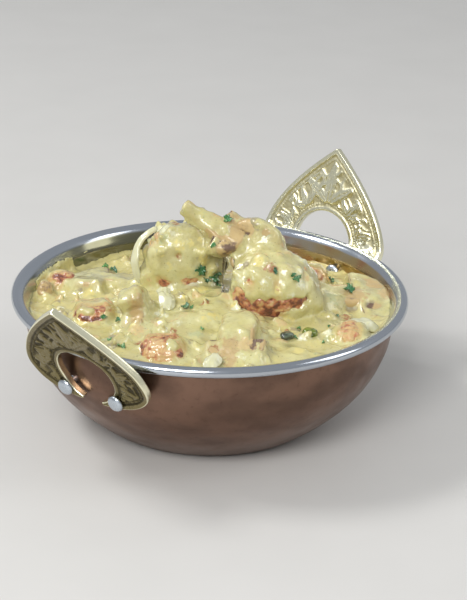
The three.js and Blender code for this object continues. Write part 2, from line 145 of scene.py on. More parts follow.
def roughened(shader, height, depth):
    """Raises and lowers the shaded surface by up to depth mm, as the height goes from 0 to 1."""
    values = {"Height": height, "Distance": depth * MM, "Strength": 1.0}
    paint(shader, "Normal", node(height.id_data, "ShaderNodeBump", values).outputs[0])


def compass(azimuth, climb=0.0):
    """The unit vector at an azimuth round Z and a climb above the horizon, in degrees."""
    a, c = np.radians(azimuth), np.radians(climb)
    return np.array([np.cos(c) * np.cos(a), np.cos(c) * np.sin(a), np.sin(c)])


def aimed(name, data, azimuth, climb, distance, target, roll=0.0):
    """An object at a distance from its target, looking at it: its back is the way out to it."""
    back = compass(azimuth, climb)
    right = np.cross([0, 0, 1], back)
    right /= np.linalg.norm(right)
    turn = np.radians(roll)
    across = right * np.cos(turn) + np.cross(back, right) * np.sin(turn)
    made = bpy.data.objects.new(name, data)
    scene.collection.objects.link(made)
    matrix = np.eye(4)
    matrix[:3, :3] = np.column_stack([across, np.cross(back, across), back])
    matrix[:3, 3] = np.array(target) + back * distance
    made.matrix_world = Matrix(matrix.tolist())
    return made


table_mesh = bpy.data.meshes.new("table")
table_corners = [(x * TABLE_HALF, y * TABLE_HALF, 0) for x, y in ((-1, -1), (1, -1), (1, 1), (-1, 1))]
table_mesh.from_pydata(table_corners, [], [(0, 1, 2, 3)])
table = bpy.data.objects.new("table", table_mesh)
scene.collection.objects.link(table)
table_finish, table_tree, table_shader = finish_of("pale_table", (205, 203, 199), 0.55)
paint(table_shader, "Base Color", blended(noise(table_tree, 40, 3.0), (203, 201, 197), (209, 207, 203)))
table_mesh.materials.append(table_finish)

room = bpy.data.worlds.new("soft_room")
room.use_nodes = True
room.node_tree.nodes["Background"].inputs["Color"].default_value = ROOM_COLOUR
room.node_tree.nodes["Background"].inputs["Strength"].default_value = ROOM_STRENGTH
scene.world = room
scene.view_settings.view_transform = "Standard"

for name, (azimuth, climb, distance, size, watts) in LAMPS.items():
    lamp = bpy.data.lights.new(name, "AREA")
    lamp.shape = "RECTANGLE"
    lamp.size, lamp.size_y = size
    lamp.energy = watts
    aimed(name, lamp, azimuth, climb, distance, LAMPS_AIM)

camera = bpy.data.cameras.new("camera")
camera.lens = CAMERA_LENS
camera.clip_end = CAMERA_FAR
scene.camera = aimed("camera", camera, **CAMERA_VIEW)

# ---------------------------------------------------------------------------------------
# The steel bowl
# ---------------------------------------------------------------------------------------
# The inner bowl is spun from 1 mm polished stainless steel, and its rim is rolled outwards
# into a round bead that covers the copper's edge. A sauce stain and a dark olive band mark its inner
# wall.

RIM_RADIUS = 80.0
RIM_TOP = 54.1
BEAD = 2.1
BASE_RADIUS = 43.0
FOOT_RADIUS = 44.0
WALL_SPREAD = 30.8
WALL_HEIGHT = 50.0
WALL_POWER = 2.4
STEEL_OUTSIDE = 1.1
STEEL_INSIDE = 2.1
STEEL_COLOUR = (188, 194, 202)
# the azimuths where the inner wall is stained and where it is darkened to a dark olive band
SMEARS = {"stain": -18, "olive_band": 72}
SMEAR_WIDTH = 42


def wall(height, inset=0.0):
    """Points (radius, height) of the wall's outer face, moved inwards by the inset.

    The radius at height h is 44 + 30.8 (1 - (1 - h / 50) ** 2.4), and the inset is square to
    the wall, whose slope is that formula's derivative."""
    left = np.clip(1 - np.asarray(height, float) / WALL_HEIGHT, 0, 1)
    slope = WALL_SPREAD * WALL_POWER / WALL_HEIGHT * left ** (WALL_POWER - 1)
    along = np.hypot(slope, 1)
    radius = FOOT_RADIUS + WALL_SPREAD * (1 - left**WALL_POWER)
    return np.column_stack([radius - inset / along, height + inset * slope / along])


def arc(centre, radius, start, end, steps):
    """Points (radius, height) on a circle from one angle to another."""
    angle = np.radians(np.linspace(start, end, steps))
    return np.column_stack([centre[0] + radius * np.cos(angle), centre[1] + radius * np.sin(angle)])


def turned(profile, turns=240):
    """A profile of (radius, height) turned about Z: the point at angle a is (r cos a, r sin a, h).

    The profile's two ends are on the axis, and each is one point closed by a fan."""
    angle = np.linspace(0, 2 * np.pi, turns, endpoint=False)
    middle = profile[1:-1]
    radius, height = middle[:, :1], middle[:, 1:]
    rows = np.stack([radius * np.cos(angle), radius * np.sin(angle), height + 0 * angle], axis=-1)
    return closed_rows(rows, [[0, 0, profile[0, 1]], [0, 0, profile[-1, 1]]])


def closed_rows(rows, poles=None):
    """Points and faces of a closed skin: rings of points, joined one to the next by quads, and
    the first and the last ring closed by a fan of triangles round a pole, which is the ring's
    middle unless it is given."""
    if poles is None:
        poles = [rows[0].mean(axis=0), rows[-1].mean(axis=0)]
    count, around = rows.shape[:2]
    index = np.arange(count * around).reshape(count, around)
    after = np.roll(index, -1, axis=1)
    quads = np.stack([index[:-1], after[:-1], after[1:], index[1:]], axis=-1).reshape(-1, 4)
    first, last = count * around, count * around + 1
    start = np.stack([np.full(around, first), after[0], index[0]], axis=-1)
    end = np.stack([np.full(around, last), index[-1], after[-1]], axis=-1)
    points = np.concatenate([rows.reshape(-1, 3), np.array(poles, float)])
    return points, [quads, start, end]


def outwards(points, faces):
    """The faces turned so that they point out: the volume of the cones from the origin to every
    face, one sixth of the sum of a · (b × c), is positive."""
    volume = 0.0
    for group in faces:
        corners = [points[group[:, k]] for k in range(group.shape[1])]
        for k in range(1, group.shape[1] - 1):
            volume += np.einsum("ij,ij->", corners[0], np.cross(corners[k], corners[k + 1]))
    return faces if volume > 0 else [group[:, ::-1] for group in faces]


def piece(name, points, faces, finish, slot, replaced=(), fields=None):
    """A smooth-shaded object from points in mm, riding on the pan, with its own attributes."""
    mesh = bpy.data.meshes.new(name)
    listed = [face for group in outwards(points, faces) for face in group.tolist()]
    mesh.from_pydata((points * MM).tolist(), [], listed)
    mesh.shade_smooth()
    for field, values in (fields or {}).items():
        values = np.asarray(values, np.float32)
        kind, part = ("FLOAT", "value") if values.ndim == 1 else ("FLOAT_COLOR", "color")
        mesh.attributes.new(field, kind, "POINT").data.foreach_set(part, values.ravel())
    mesh.materials.append(finish)
    made = bpy.data.objects.new(name, mesh)
    scene.collection.objects.link(made)
    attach(made, "root")
    if replaced:
        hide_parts(*replaced)
    return made


# up the outer face, round the bead, down the throat inside it, and down the inner face
steel_profile = np.concatenate([
    [[BASE_RADIUS * share, STEEL_OUTSIDE] for share in (0, 0.3, 0.6, 0.85)],
    wall(np.linspace(1.5, 49.2, 40), STEEL_OUTSIDE),
    [[74.0, 49.8]],
    arc((RIM_RADIUS - BEAD, RIM_TOP - BEAD), BEAD, -90, 115, 28),
    [[76.0, 53.5], [75.1, 52.7], [74.3, 51.4], [73.6, 49.6]],
    wall(np.linspace(48.2, 2.0, 46), STEEL_INSIDE),
    [[BASE_RADIUS * share, STEEL_INSIDE] for share in (0.93, 0.85, 0.6, 0.3, 0)],
])

steel, steel_tree, steel_shader = finish_of("polished_steel", STEEL_COLOUR, 0.16, 1.0)
spun = noise(steel_tree, 6.0, 3.0, (6, 6, 0.35))
smudge = noise(steel_tree, 22.0, 3.0)
paint(steel_shader, "Roughness", ranged(combined("MULTIPLY", spun, smudge), 0.1, 0.5, 0.1, 0.34))
roughened(steel_shader, spun, 0.012)
stain_patch = combined("MULTIPLY", attribute(steel_tree, "stain"), smudge)
stain_tone = blended(ranged(smudge, 0.5, 0.62), (190, 160, 92), (182, 122, 58))
# the steel's colour, with the stain's patches and the band darkened to dark olive
paint(steel_shader, "Base Color", layered(
    STEEL_COLOUR, (stain_patch, 0.16, 0.5, 0.85, stain_tone),
    (attribute(steel_tree, "olive_band"), 0.0, 1.0, 0.9, (112, 108, 74))))

steel_points, steel_faces = turned(steel_profile, 288)
steel_radius = np.hypot(steel_points[:, 0], steel_points[:, 1])
steel_turn = np.degrees(np.arctan2(steel_points[:, 1], steel_points[:, 0]))
inner_side = (steel_points[:, 2] > 40) & (steel_points[:, 2] < 51.5) & (steel_radius < 75.5)
smears = {
    name: inner_side * np.exp(-(((steel_turn - middle) / SMEAR_WIDTH) ** 2))
    for name, middle in SMEARS.items()
}
piece("steel_bowl_spun", steel_points, steel_faces, steel, "steel", ["steel_bowl"], smears)

# ---------------------------------------------------------------------------------------
# The copper shell
# ---------------------------------------------------------------------------------------
# The outer shell is pressed from 0.8 mm copper and beaten by hand into shallow round flats.
# It has dulled to a brown pink, and is held between the steel bowl and its rolled rim.

COPPER_TOP = 49.5
COPPER = 0.8
DENT_DEPTH = 0.3
DENT_SPACING = 9.5


def beaten(points, depth, spacing, seed):
    """How far each point of the wall is beaten in: rows of round dents, each a bell curve of
    the distance to its centre, with the centres shifted and their depths uneven."""
    chance = np.random.default_rng(seed)
    turn = np.arctan2(points[..., 1], points[..., 0])
    radius = np.hypot(points[..., 0], points[..., 1])
    height = points[..., 2]
    dent = np.zeros(height.shape)
    for level in np.arange(2.0, COPPER_TOP, spacing * 0.8):
        count = int(2 * np.pi * wall([level])[0, 0] / spacing)
        for k in range(count):
            centre = 2 * np.pi * (k + chance.uniform(-0.3, 0.3)) / count
            middle = level + chance.uniform(-1.5, 1.5)
            away = (turn - centre + np.pi) % (2 * np.pi) - np.pi
            spread = (radius * away) ** 2 + (1.25 * (height - middle)) ** 2
            dent += chance.uniform(0.5, 1.0) * np.exp(-spread / (0.42 * spacing) ** 2)
    return depth * dent


copper_profile = np.concatenate([
    [[0, 0], [20, 0], [36, 0], [41, 0], [43.4, 0.25]],
    wall(np.linspace(1.6, COPPER_TOP, 64)),
    wall(np.linspace(COPPER_TOP - 0.05, 2.4, 30), COPPER),
    [[41, COPPER], [20, COPPER], [0, COPPER]],
])
copper_points, copper_faces = turned(copper_profile, 320)
copper_radius = np.hypot(copper_points[:, 0], copper_points[:, 1])
outer_face = copper_radius > wall(copper_points[:, 2])[:, 0] - 0.3
fade = np.clip((COPPER_TOP - copper_points[:, 2]) / 5, 0, 1) * np.clip(copper_points[:, 2] / 6, 0, 1)
dents = beaten(copper_points, DENT_DEPTH, DENT_SPACING, 3) * outer_face * fade
copper_points[:, :2] *= (1 - dents / np.maximum(copper_radius, 1))[:, None]

copper, copper_tree, copper_shader = finish_of("dulled_copper", (126, 98, 85), 0.36, 1.0)
tarnish = noise(copper_tree, 18, 4.0, (1, 1, 0.6))
paint(copper_shader, "Base Color", layered(
    (130, 102, 87), (tarnish, 0.35, 0.7, 1.0, (110, 87, 75)),
    (noise(copper_tree, 2.2, 3.0), 0.55, 0.8, 0.3, (76, 58, 50))))
paint(copper_shader, "Roughness", ranged(tarnish, 0.3, 0.7, 0.3, 0.44))
roughened(copper_shader, noise(copper_tree, 1.4, 4.0, (3, 3, 0.5)), 0.02)
piece("copper_shell_beaten", copper_points, copper_faces, copper, "copper", ["copper_shell"])

# ---------------------------------------------------------------------------------------
# The brass handles
# ---------------------------------------------------------------------------------------
# Each handle is a flat brass casting with a pointed arch outline round a large round hole. A
# plain border, a row of beads and leaves stand out from its sunk ground. It bends out past
# the rim, and two rivets hold its legs to the wall.

HANDLE_TIP = 49.6
HANDLE_HALF_WIDTH = 29.8
HOLE_RISE = 9.2
HOLE_RADIUS = 13.4
LEG_DEPTH = 14.0
LEAF_POWER = 1.65
LOWER_POWER = 2.3
OPENING = 159.0
RIVET_SPREAD = 12.6
PLATE = 3.0
STANDOFF = 0.3
BEAD_STEP = 1.35
LEAF_FOOT = 16.4
# leans are (rise in mm, degrees out of upright up to that rise), and the outer and inner
# painted shades are how dark the two faces are painted, from 0 to 1, for the dark reflections they show
HANDLES = {
    "near": {
        "azimuth": 183, "rivet_height": 36, "size": 0.96, "leans": ((4, 14), (18, 27), (60, 34)),
        "outer_painted_shade": 1.0, "inner_painted_shade": 0.4,
    },
    "far": {
        "azimuth": 1.5, "rivet_height": 42, "size": 1.03, "leans": ((4.5, 6), (12.5, 41), (60, 13)),
        "outer_painted_shade": 0.7, "inner_painted_shade": 0.0,
    },
}


def outline_radius(angle):
    """The outline's distance from the hole's centre at an angle from straight up, by halving.

    Above the centre across / 29.8 + (up / 40.4) ** 1.65 = 1, and below it
    (across / 29.8) ** 2.3 + (down / 14) ** 2.3 = 1."""
    inside, outside = np.zeros(angle.shape), np.full(angle.shape, 2 * HANDLE_TIP)
    for _ in range(40):
        middle = (inside + outside) / 2
        across, up = np.abs(middle * np.sin(angle)), middle * np.cos(angle)
        above = across / HANDLE_HALF_WIDTH + (np.maximum(up, 0) / (HANDLE_TIP - HOLE_RISE)) ** LEAF_POWER
        below = (across / HANDLE_HALF_WIDTH) ** LOWER_POWER
        below = below + (np.maximum(-up, 0) / LEG_DEPTH) ** LOWER_POWER
        within = np.where(up < 0, below, above) < 1
        inside, outside = np.where(within, middle, inside), np.where(within, outside, middle)
    return inside


def lumps(points, spacing, seed):
    """Smooth noise from -1 to 1: random numbers on a lattice spacing mm apart, blended by
    3 t² - 2 t³ of the place t between them."""
    lattice = np.random.default_rng(seed).uniform(-1, 1, (48, 48, 48)).astype(np.float32)
    place = np.asarray(points, np.float32) / np.float32(spacing) + np.float32(511.0)
    cell = np.floor(place).astype(np.int32)
    part = place - cell
    part = part * part * (3 - 2 * part)
    total = np.zeros(part.shape[:-1], np.float32)
    for step in itertools.product((0, 1), repeat=3):
        weight = np.prod(np.abs(1 - np.array(step, np.float32) - part), axis=-1)
        corner = (cell + np.array(step, np.int32)) % 48
        total += weight * lattice[corner[..., 0], corner[..., 1], corner[..., 2]]
    return total


def leaf(across, up, base, heading, length, width, curve):
    """The height of one leaf, 0 to 1: a lens from its base along its heading, bowed sideways by
    the curve, round across and grooved along its midrib."""
    turn = np.radians(heading)
    along = ((across - base[0]) * np.sin(turn) + (up - base[1]) * np.cos(turn)) / length
    aside = (across - base[0]) * np.cos(turn) - (up - base[1]) * np.sin(turn) - curve * along**2
    share = np.clip(along, 0.001, 0.999)
    half = width / 2 * np.sin(np.pi * share**0.8) + 0.01
    body = np.clip(1 - (aside / half) ** 2, 0, 1) ** 0.6
    return body * ((along > 0) & (along < 1)) * (1 - 0.45 * np.exp(-((aside / 0.3) ** 2)))


def relief(across, up, edge, run):
    """The casting's height in mm over its ground: the border, the row of beads, the hole's ring,
    fans of leaves and thin curling lines where a swaying noise drawn out along the radius is
    zero. edge is the distance from the outline and run the way along it."""
    from_hole = np.hypot(across, up) - HOLE_RADIUS
    border = np.clip((2.3 - edge) / 0.4, 0, 1) * 0.42
    ring = np.clip((2.0 - from_hole) / 0.4, 0, 1) * 0.4
    along = run % BEAD_STEP - BEAD_STEP / 2
    beads = 0.36 * np.sqrt(np.clip(1 - (along**2 + (edge - 3.3) ** 2) / 0.36, 0, 1))
    turn = np.arctan2(across, up) * HOLE_RADIUS * 1.2
    small = (turn % 1.2 - 0.6) ** 2 + (from_hole - 2.8) ** 2
    beads = np.maximum(beads, 0.28 * np.sqrt(np.clip(1 - small / 0.25, 0, 1)))
    leaves = np.zeros(across.shape)
    for centre in np.arange(-144, 145, 36):
        spot = np.radians(centre)
        foot = (LEAF_FOOT * np.sin(spot), LEAF_FOOT * np.cos(spot))
        room = float(outline_radius(np.array([spot]))[0]) - LEAF_FOOT - 4.2
        for tilt, share, bow in ((0, 1.0, 0.8), (-46, 0.85, -2.2), (46, 0.85, 2.2)):
            length = max(room * share, 3.0)
            width = 1.8 + 0.2 * length
            leaves = np.maximum(leaves, leaf(across, up, foot, centre + tilt, length, width, bow))
    flat = np.stack([across, up, 0 * up], axis=-1)
    sway = 2.2 * lumps(flat, 5.5, 71)
    strand = lumps(np.stack([turn + sway, 0.36 * from_hole + 0.5 * sway, 0 * up], axis=-1), 1.5, 72)
    curls = np.clip(1 - 2.4 * np.abs(strand), 0, 1)
    clear = (edge > 4.0) & (from_hole > 3.4)
    cast = clear * np.maximum(leaves * 0.8, curls * 0.72)
    return np.maximum.reduce([border, ring, beads, cast]) + 0.12 * lumps(flat, 0.9, 73) - 0.45


def bent(fit, across, rise, lift):
    """The plate's middle surface, bent only as it rises, with each point moved out by its lift.

    The lean follows the stretches, eased over 3 mm at each bend, and its sine and cosine are
    added up along the plate to give how far out and up it has come."""
    table = np.linspace(-10, 60, 1401)
    lean = np.full(table.shape, float(fit["leans"][0][1]))
    for (end, before), (_, after) in zip(fit["leans"][:-1], fit["leans"][1:]):
        lean += (after - before) / (1 + np.exp(-(table - end) / 0.7))
    lean = np.radians(lean)
    step = table[1] - table[0]
    out, up = np.cumsum(np.sin(lean)) * step, np.cumsum(np.cos(lean)) * step
    out, up = out - np.interp(0, table, out), up - np.interp(0, table, up)
    tilt = np.interp(rise, table, lean)
    out = np.interp(rise, table, out) + lift * np.cos(tilt)
    up = np.interp(rise, table, up) - lift * np.sin(tilt)
    return np.stack([across, out, up], axis=-1)


def handle_axes(fit):
    """The handle's across, out and up directions, and the middle of its plate at the rivets."""
    out = compass(fit["azimuth"])
    across = np.array([out[1], -out[0], 0])
    seat = wall([fit["rivet_height"]])[0]
    origin = out * (seat[0] + STANDOFF + PLATE / 2) + [0, 0, seat[1]]
    return np.array([across, out, [0, 0, 1]]), origin


def handle_plate(fit, turns=340, across_steps=46, corner=0.55):
    """Sections round the hole from one leg's end to the other: each is a rounded rectangle from
    the hole's edge to the outline, with the relief on its two faces."""
    share = np.linspace(0, 1, across_steps)
    bend = np.radians(np.linspace(0, 90, 5))[1:-1]
    top = PLATE / 2
    zero, one = np.zeros, np.ones
    wide, flat = corner * (1 - 2 * share), (top - corner) * np.linspace(1, -1, 5)
    sine, cosine = corner * np.sin(bend), corner * np.cos(bend)
    reach = np.concatenate([share, one(11), share[::-1], zero(11)])
    inset = np.concatenate([
        wide, sine - corner, zero(5), cosine - corner,
        wide[::-1], corner - sine, zero(5), corner - cosine])
    side = np.concatenate([
        top * one(across_steps), top - corner + cosine, flat, corner - top - sine,
        -top * one(across_steps), corner - top - cosine, -flat, top - corner + sine])
    facing = np.concatenate([one(across_steps), zero(11), -one(across_steps), zero(11)])
    angle = np.radians(np.linspace(-OPENING, OPENING, turns))[:, None]
    far = outline_radius(angle)
    radius = HOLE_RADIUS + (far - HOLE_RADIUS) * reach + inset
    across, up = radius * np.sin(angle), radius * np.cos(angle)
    ends = np.minimum(np.arange(turns), np.arange(turns)[::-1])[:, None]
    rim = np.column_stack([far * np.sin(angle), far * np.cos(angle)])
    walk = np.concatenate([[0], np.cumsum(np.hypot(*np.diff(rim, axis=0).T))])
    apart = np.hypot(across[..., None] - rim[:, 0], up[..., None] - rim[:, 1])
    edge, run = apart.min(axis=-1), walk[apart.argmin(axis=-1)]
    fade = np.clip(ends / 3, 0, 1) * np.clip(np.minimum(reach, 1 - reach) * 12, 0, 1)
    raised = relief(across, up, edge, run) * np.abs(facing) * fade
    lift = side + facing * raised * np.where(raised > 0, 0.6, 1)
    local = bent(fit, fit["size"] * across, fit["size"] * (HOLE_RISE + up), lift)
    axes, origin = handle_axes(fit)
    hollow = np.clip(-raised / 0.4, 0, 1) * np.abs(facing)
    # painted shade: the outer and inner faces darkened by each handle's own shares, the edges left bright
    age = np.where(facing > 0, fit["outer_painted_shade"], np.where(facing < 0, fit["inner_painted_shade"], 0)) + 0 * hollow
    fields = {name: np.append(field, [0, 0]) for name, field in (("hollow", hollow), ("age", age))}
    return *closed_rows(local @ axes + origin), fields


brass, brass_tree, brass_shader = finish_of("cast_brass", (230, 222, 180), 0.3, 1.0)
hollow = attribute(brass_tree, "hollow")
patina_and_shade = blended(hollow, (124, 112, 72), (56, 48, 28))
# the last layer is painted shade: whole faces darkened towards the patina's colours, the near handle's
# outer face most, standing in for the dark reflections they show; the patina in the hollows is the
# casting's own
paint(brass_shader, "Base Color", layered(
    blended(noise(brass_tree, 9, 3.0), (252, 250, 224), (240, 234, 196)),
    (hollow, 0.1, 0.9, 0.6, (160, 148, 100)), (attribute(brass_tree, "age"), 0, 1, 0.95, patina_and_shade)))
paint(brass_shader, "Roughness", ranged(hollow, 0, 1, 0.26, 0.5))
roughened(brass_shader, noise(brass_tree, 0.8, 3.0), 0.03)

for label, fit in HANDLES.items():
    handle_points, handle_faces, handle_fields = handle_plate(fit)
    name = f"handle_{label}"
    piece(f"{name}_cast", handle_points, handle_faces, brass, "brass", [name], handle_fields)

# ---------------------------------------------------------------------------------------
# The rivets
# ---------------------------------------------------------------------------------------
# Four aluminium rivets pass through the plate and both walls. Each has a domed head on the
# handle and a lower one inside the pan.

RIVET_SHANK = 2.0
RIVET_HEAD = 3.4
RIVET_DOME = 1.7
INNER_DOME = 1.4
HEAD_GAP = 0.55
INNER_GAP = 1.4

rivet_metal, rivet_tree, rivet_shader = finish_of("rivet_metal", (196, 204, 212), 0.3, 1.0)
paint(rivet_shader, "Roughness", ranged(noise(rivet_tree, 1.5), 0.3, 0.7, 0.22, 0.4))
roughened(rivet_shader, noise(rivet_tree, 1.2, 3.0), 0.03)

for label, fit in HANDLES.items():
    seat, below = wall([fit["rivet_height"], fit["rivet_height"] - 1])
    tilt = np.degrees(np.arctan2(seat[0] - below[0], seat[1] - below[1]))
    spread = RIVET_SPREAD * fit["size"]
    drop = seat[0] - np.sqrt(seat[0] ** 2 - spread**2)
    outer, inner = drop + STANDOFF + PLATE + HEAD_GAP, -(STEEL_INSIDE + INNER_GAP)
    dome = np.radians(np.linspace(0, 90, 9))
    rivet_profile = np.concatenate([
        [[0, inner - INNER_DOME]],
        np.column_stack([RIVET_HEAD * np.sin(dome), inner - INNER_DOME * np.cos(dome)])[1:],
        [[RIVET_SHANK, inner], [RIVET_SHANK, outer]],
        np.column_stack([RIVET_HEAD * np.cos(dome), outer + RIVET_DOME * np.sin(dome)]),
    ])
    out = compass(fit["azimuth"])
    across = np.array([-out[1], out[0], 0])
    axis = compass(fit["azimuth"], -tilt)
    for way, letter in ((1, "a"), (-1, "b")):
        rivet_points, rivet_faces = turned(rivet_profile, 40)
        origin = out * (seat[0] - drop) + across * way * spread + [0, 0, seat[1]]
        frame_axes = np.array([across, np.cross(axis, across), axis])
        rivet_points = rivet_points @ frame_axes + origin
        name = f"rivet_{label}_{letter}"
        piece(f"{name}_domed", rivet_points, rivet_faces, rivet_metal, "rivet", [name])

# ---------------------------------------------------------------------------------------
# The chicken
# ---------------------------------------------------------------------------------------
# Chunks of boned chicken thigh, seared before they went into the sauce: pale and stringy
# where cut, orange to dark red brown where they were browned. Most lie under the sauce.

FOOD_POWER = 2.5
FILLET = 3.2
# at and turn (heading, climb, roll) place a chunk, coat is the sauce's thickness over it, and
# fillet is how wide the sauce fills the corner round it; each spot (x, y, z, radius, bare, sear)
# is a patch where the sauce is thinner by bare mm and the meat is browned by sear, from 0 to 1
CHICKEN = {
    "chicken_left": {
        "size": (28, 32, 29), "seed": 1.3, "at": (5.5, 17.5, 61), "turn": (-52, 3, 0), "coat": 1.0,
        "spots": (
            (-8.8, 17.5, 54.5, 3.6, 2.5, 0.75), (-3.4, 6.6, 54.0, 3.2, 2.4, 0.8),
            (-6.6, 11, 67, 1.3, 1.5, 0.4),
        ),
        "sunk": ((2.4, 28, 70.5, 9, 3.6), (8.0, 21.0, 74.4, 8, 2.2)),
    },
    "chicken_right": {
        "size": (26, 34, 27), "seed": 4.1, "at": (9.5, -25, 58.5), "turn": (-56, -6, 8), "coat": 1.0,
        "fillet": 1.6,
        "spots": (
            (-2.4, -31.5, 53.5, 5.8, 2.8, 1.0), (-6.0, -20.5, 55.5, 4.2, 2.2, 0.9),
            (3.0, -38, 57, 2.4, 2.4, 0.8), (6.5, -39.5, 55.8, 1.8, 3.2, 0.9),
            (10, -40.6, 57.5, 1.8, 3.2, 0.8), (-4.5, -23.4, 63.7, 2.2, 1.6, 0.35),
        ),
    },
    "chicken_front": {
        "size": (21, 16, 17), "seed": 2.2, "at": (-51, -18.5, 46.5), "turn": (-48, 0, -8), "coat": 0.5,
        "spots": (
            (-58, -14, 51, 3.4, 2.2, 0.85), (-50.5, -18, 54.5, 3.4, 2.1, 0.7),
            (-51.5, -27.5, 50.5, 2.6, 1.9, 0.85), (-57.5, -20.5, 50, 4.2, 1.9, 0.2),
            (-53.5, -24.5, 53, 1.8, -1.4, 0.0), (-46, -22, 54, 2.4, 0.6, 0.6),
        ),
    },
    "chicken_left_front": {
        "size": (19, 16, 17), "seed": 5.3, "at": (-40.5, 26, 45.5), "turn": (-45, 0, 0), "coat": 0.6,
        "spots": (
            (-51, 24.5, 47.5, 4.5, 2.0, 0.8), (-43.2, 21.0, 52.5, 3.0, 1.5, 0.6),
            (-47, 31, 49, 3, 1.5, 0.45), (-48, 19, 49, 3, 1.6, 0.6),
        ),
    },
    "chicken_left_back": {
        "size": (13, 14, 13), "seed": 0.7, "at": (-21, 62, 44), "turn": (-40, 0, 0), "coat": 0.5,
        "spots": ((-24.3, 61, 50, 3.6, 2.2, 0.85), (-20, 57, 50, 3, 1.2, 0.5)),
    },
    "chicken_right_front": {
        "size": (13, 13, 11), "seed": 3.4, "at": (8.5, -63, 46.8), "turn": (-65, 0, 0), "coat": 0.5,
        "spots": ((5.3, -66.5, 50.5, 4, 2, 0.3), (9, -62, 52, 3.2, 1.5, 0.35)),
    },
    "chicken_right_back": {
        "size": (14, 21, 15), "seed": 6.1, "at": (49.5, -12, 45), "turn": (-75, 0, 0), "coat": 0.6,
        "spots": ((46, -17.6, 50.7, 4, 1.6, 0.4), (49, -8, 51.5, 3.4, 1.6, 0.45)),
    },
}


def own_axes(heading, climb, roll):
    """A piece's own x, y and z directions: y along the heading and climb, x level and square to
    it, turned about y by the roll, and z square to both."""
    ahead = compass(heading, climb)
    side = np.cross(ahead, [0, 0, 1])
    side /= np.linalg.norm(side)
    turn = np.radians(roll)
    side = side * np.cos(turn) + np.cross(ahead, side) * np.sin(turn)
    return np.array([side, ahead, np.cross(side, ahead)])


def placed(local, item):
    """Points in a piece's own axes, turned and moved to its place."""
    return local @ own_axes(*item["turn"]) + np.array(item["at"])


def local_to(points, item):
    """Points in a piece's own axes, from their places in the pan."""
    return (points - np.array(item["at"])) @ own_axes(*item["turn"]).T


def block_radius(way, seed):
    """How far a chunk reaches along a unit direction: a rounded block,
    (|x|^2.5 + |y|^2.5 + |z|^2.5)^(-1/2.5), times 1 + 0.055 of the sum of three slow waves."""
    block = (np.abs(way) ** FOOD_POWER).sum(axis=-1) ** (-1 / FOOD_POWER)
    x, y, z = way[..., 0], way[..., 1], way[..., 2]
    slow = np.sin(2.3 * x + seed) + np.sin(2.9 * y + 2.1 * seed) + np.sin(2.6 * z + 3.7 * seed)
    return block * (1 + 0.055 * slow)


def spotted(points, spots, column, inner=1.0):
    """The sum over the spots of the value in one column times exp(-(distance / radius)²), with
    every radius times inner."""
    total = np.zeros(points.shape[:-1])
    for spot in spots:
        away = ((points - np.array(spot[:3])) ** 2).sum(axis=-1)
        total += spot[column] * np.exp(-away / (inner * spot[3]) ** 2)
    return total


def sunk(points, chunk):
    """How far a chunk's surface is pressed in near its sunk places (x, y, z, radius, depth)."""
    return spotted(points, chunk.get("sunk", ()), 4)


def chunk_distance(points, chunk):
    """Roughly how far points lie outside a chunk, along the line to its middle."""
    local = local_to(points, chunk)
    scaled = local / (np.array(chunk["size"]) / 2)
    reach = np.linalg.norm(scaled, axis=-1) + 1e-6
    way = scaled / reach[..., None]
    out = (1 - block_radius(way, chunk["seed"]) / reach) * np.linalg.norm(local, axis=-1)
    return out + sunk(points, chunk)


def chunk_skin(chunk, seed, rows=150, around=220, rough=1.0):
    """A sphere of directions, each point at its block radius, then pushed in and out by lumps,
    by strands that run along the chunk and by the blisters of its seared patches."""
    climb = np.linspace(0, np.pi, rows + 2)[:, None]
    turn = np.linspace(0, 2 * np.pi, around, endpoint=False)
    way = np.stack(np.broadcast_arrays(
        np.sin(climb) * np.cos(turn), np.sin(climb) * np.sin(turn), np.cos(climb) + 0 * turn), axis=-1)
    local = way * block_radius(way, chunk["seed"])[..., None] * np.array(chunk["size"]) / 2
    strands = lumps(local * [1, 0.22, 1], 1.1, seed)
    push = 0.65 * lumps(local, 5.0, seed + 1) + 0.4 * lumps(local, 2.2, seed + 2) + 0.3 * strands
    points = placed(local, chunk)
    sear = np.clip(spotted(points, chunk["spots"], 5, 1.15), 0, 1)
    blister = np.abs(lumps(local, 1.0, seed + 3)) * 0.35 * sear
    out = rough * (push + blister) - sunk(points, chunk)
    points = points + (way * out[..., None]) @ own_axes(*chunk["turn"])
    uneven = 0.5 + 0.5 * lumps(local, 1.6, seed + 4)
    sear = np.clip(sear * (0.55 + 0.75 * uneven), 0, 1)
    skin, faces = closed_rows(points[1:-1], [points[0, 0], points[-1, 0]])
    return skin, faces, np.append(sear[1:-1], [sear[0, 0], sear[-1, 0]])


chicken, chicken_tree, chicken_shader = finish_of(
    "seared_chicken", (205, 160, 105), 0.34, Coat_Weight=0.9, Coat_Roughness=0.1,
    Subsurface_Weight=0.12, Subsurface_Scale=0.002, Subsurface_Radius=(1.0, 0.5, 0.3))
flesh_tone = noise(chicken_tree, 3.0, 4.0)
blisters = ranged(noise(chicken_tree, 2.6, 4.0), 0.3, 0.7, -0.35, 0.4)
seared = combined("ADD", attribute(chicken_tree, "sear"), blisters)
paint(chicken_shader, "Base Color", layered(
    blended(flesh_tone, (212, 184, 130), (196, 150, 92)),
    (seared, 0.25, 0.62, 1.0, blended(flesh_tone, (196, 130, 86), (156, 84, 54))),
    (seared, 0.6, 0.95, 1.0, blended(flesh_tone, (126, 62, 42), (76, 38, 28)))))
roughened(chicken_shader, noise(chicken_tree, 1.2, 4.0), 0.6)

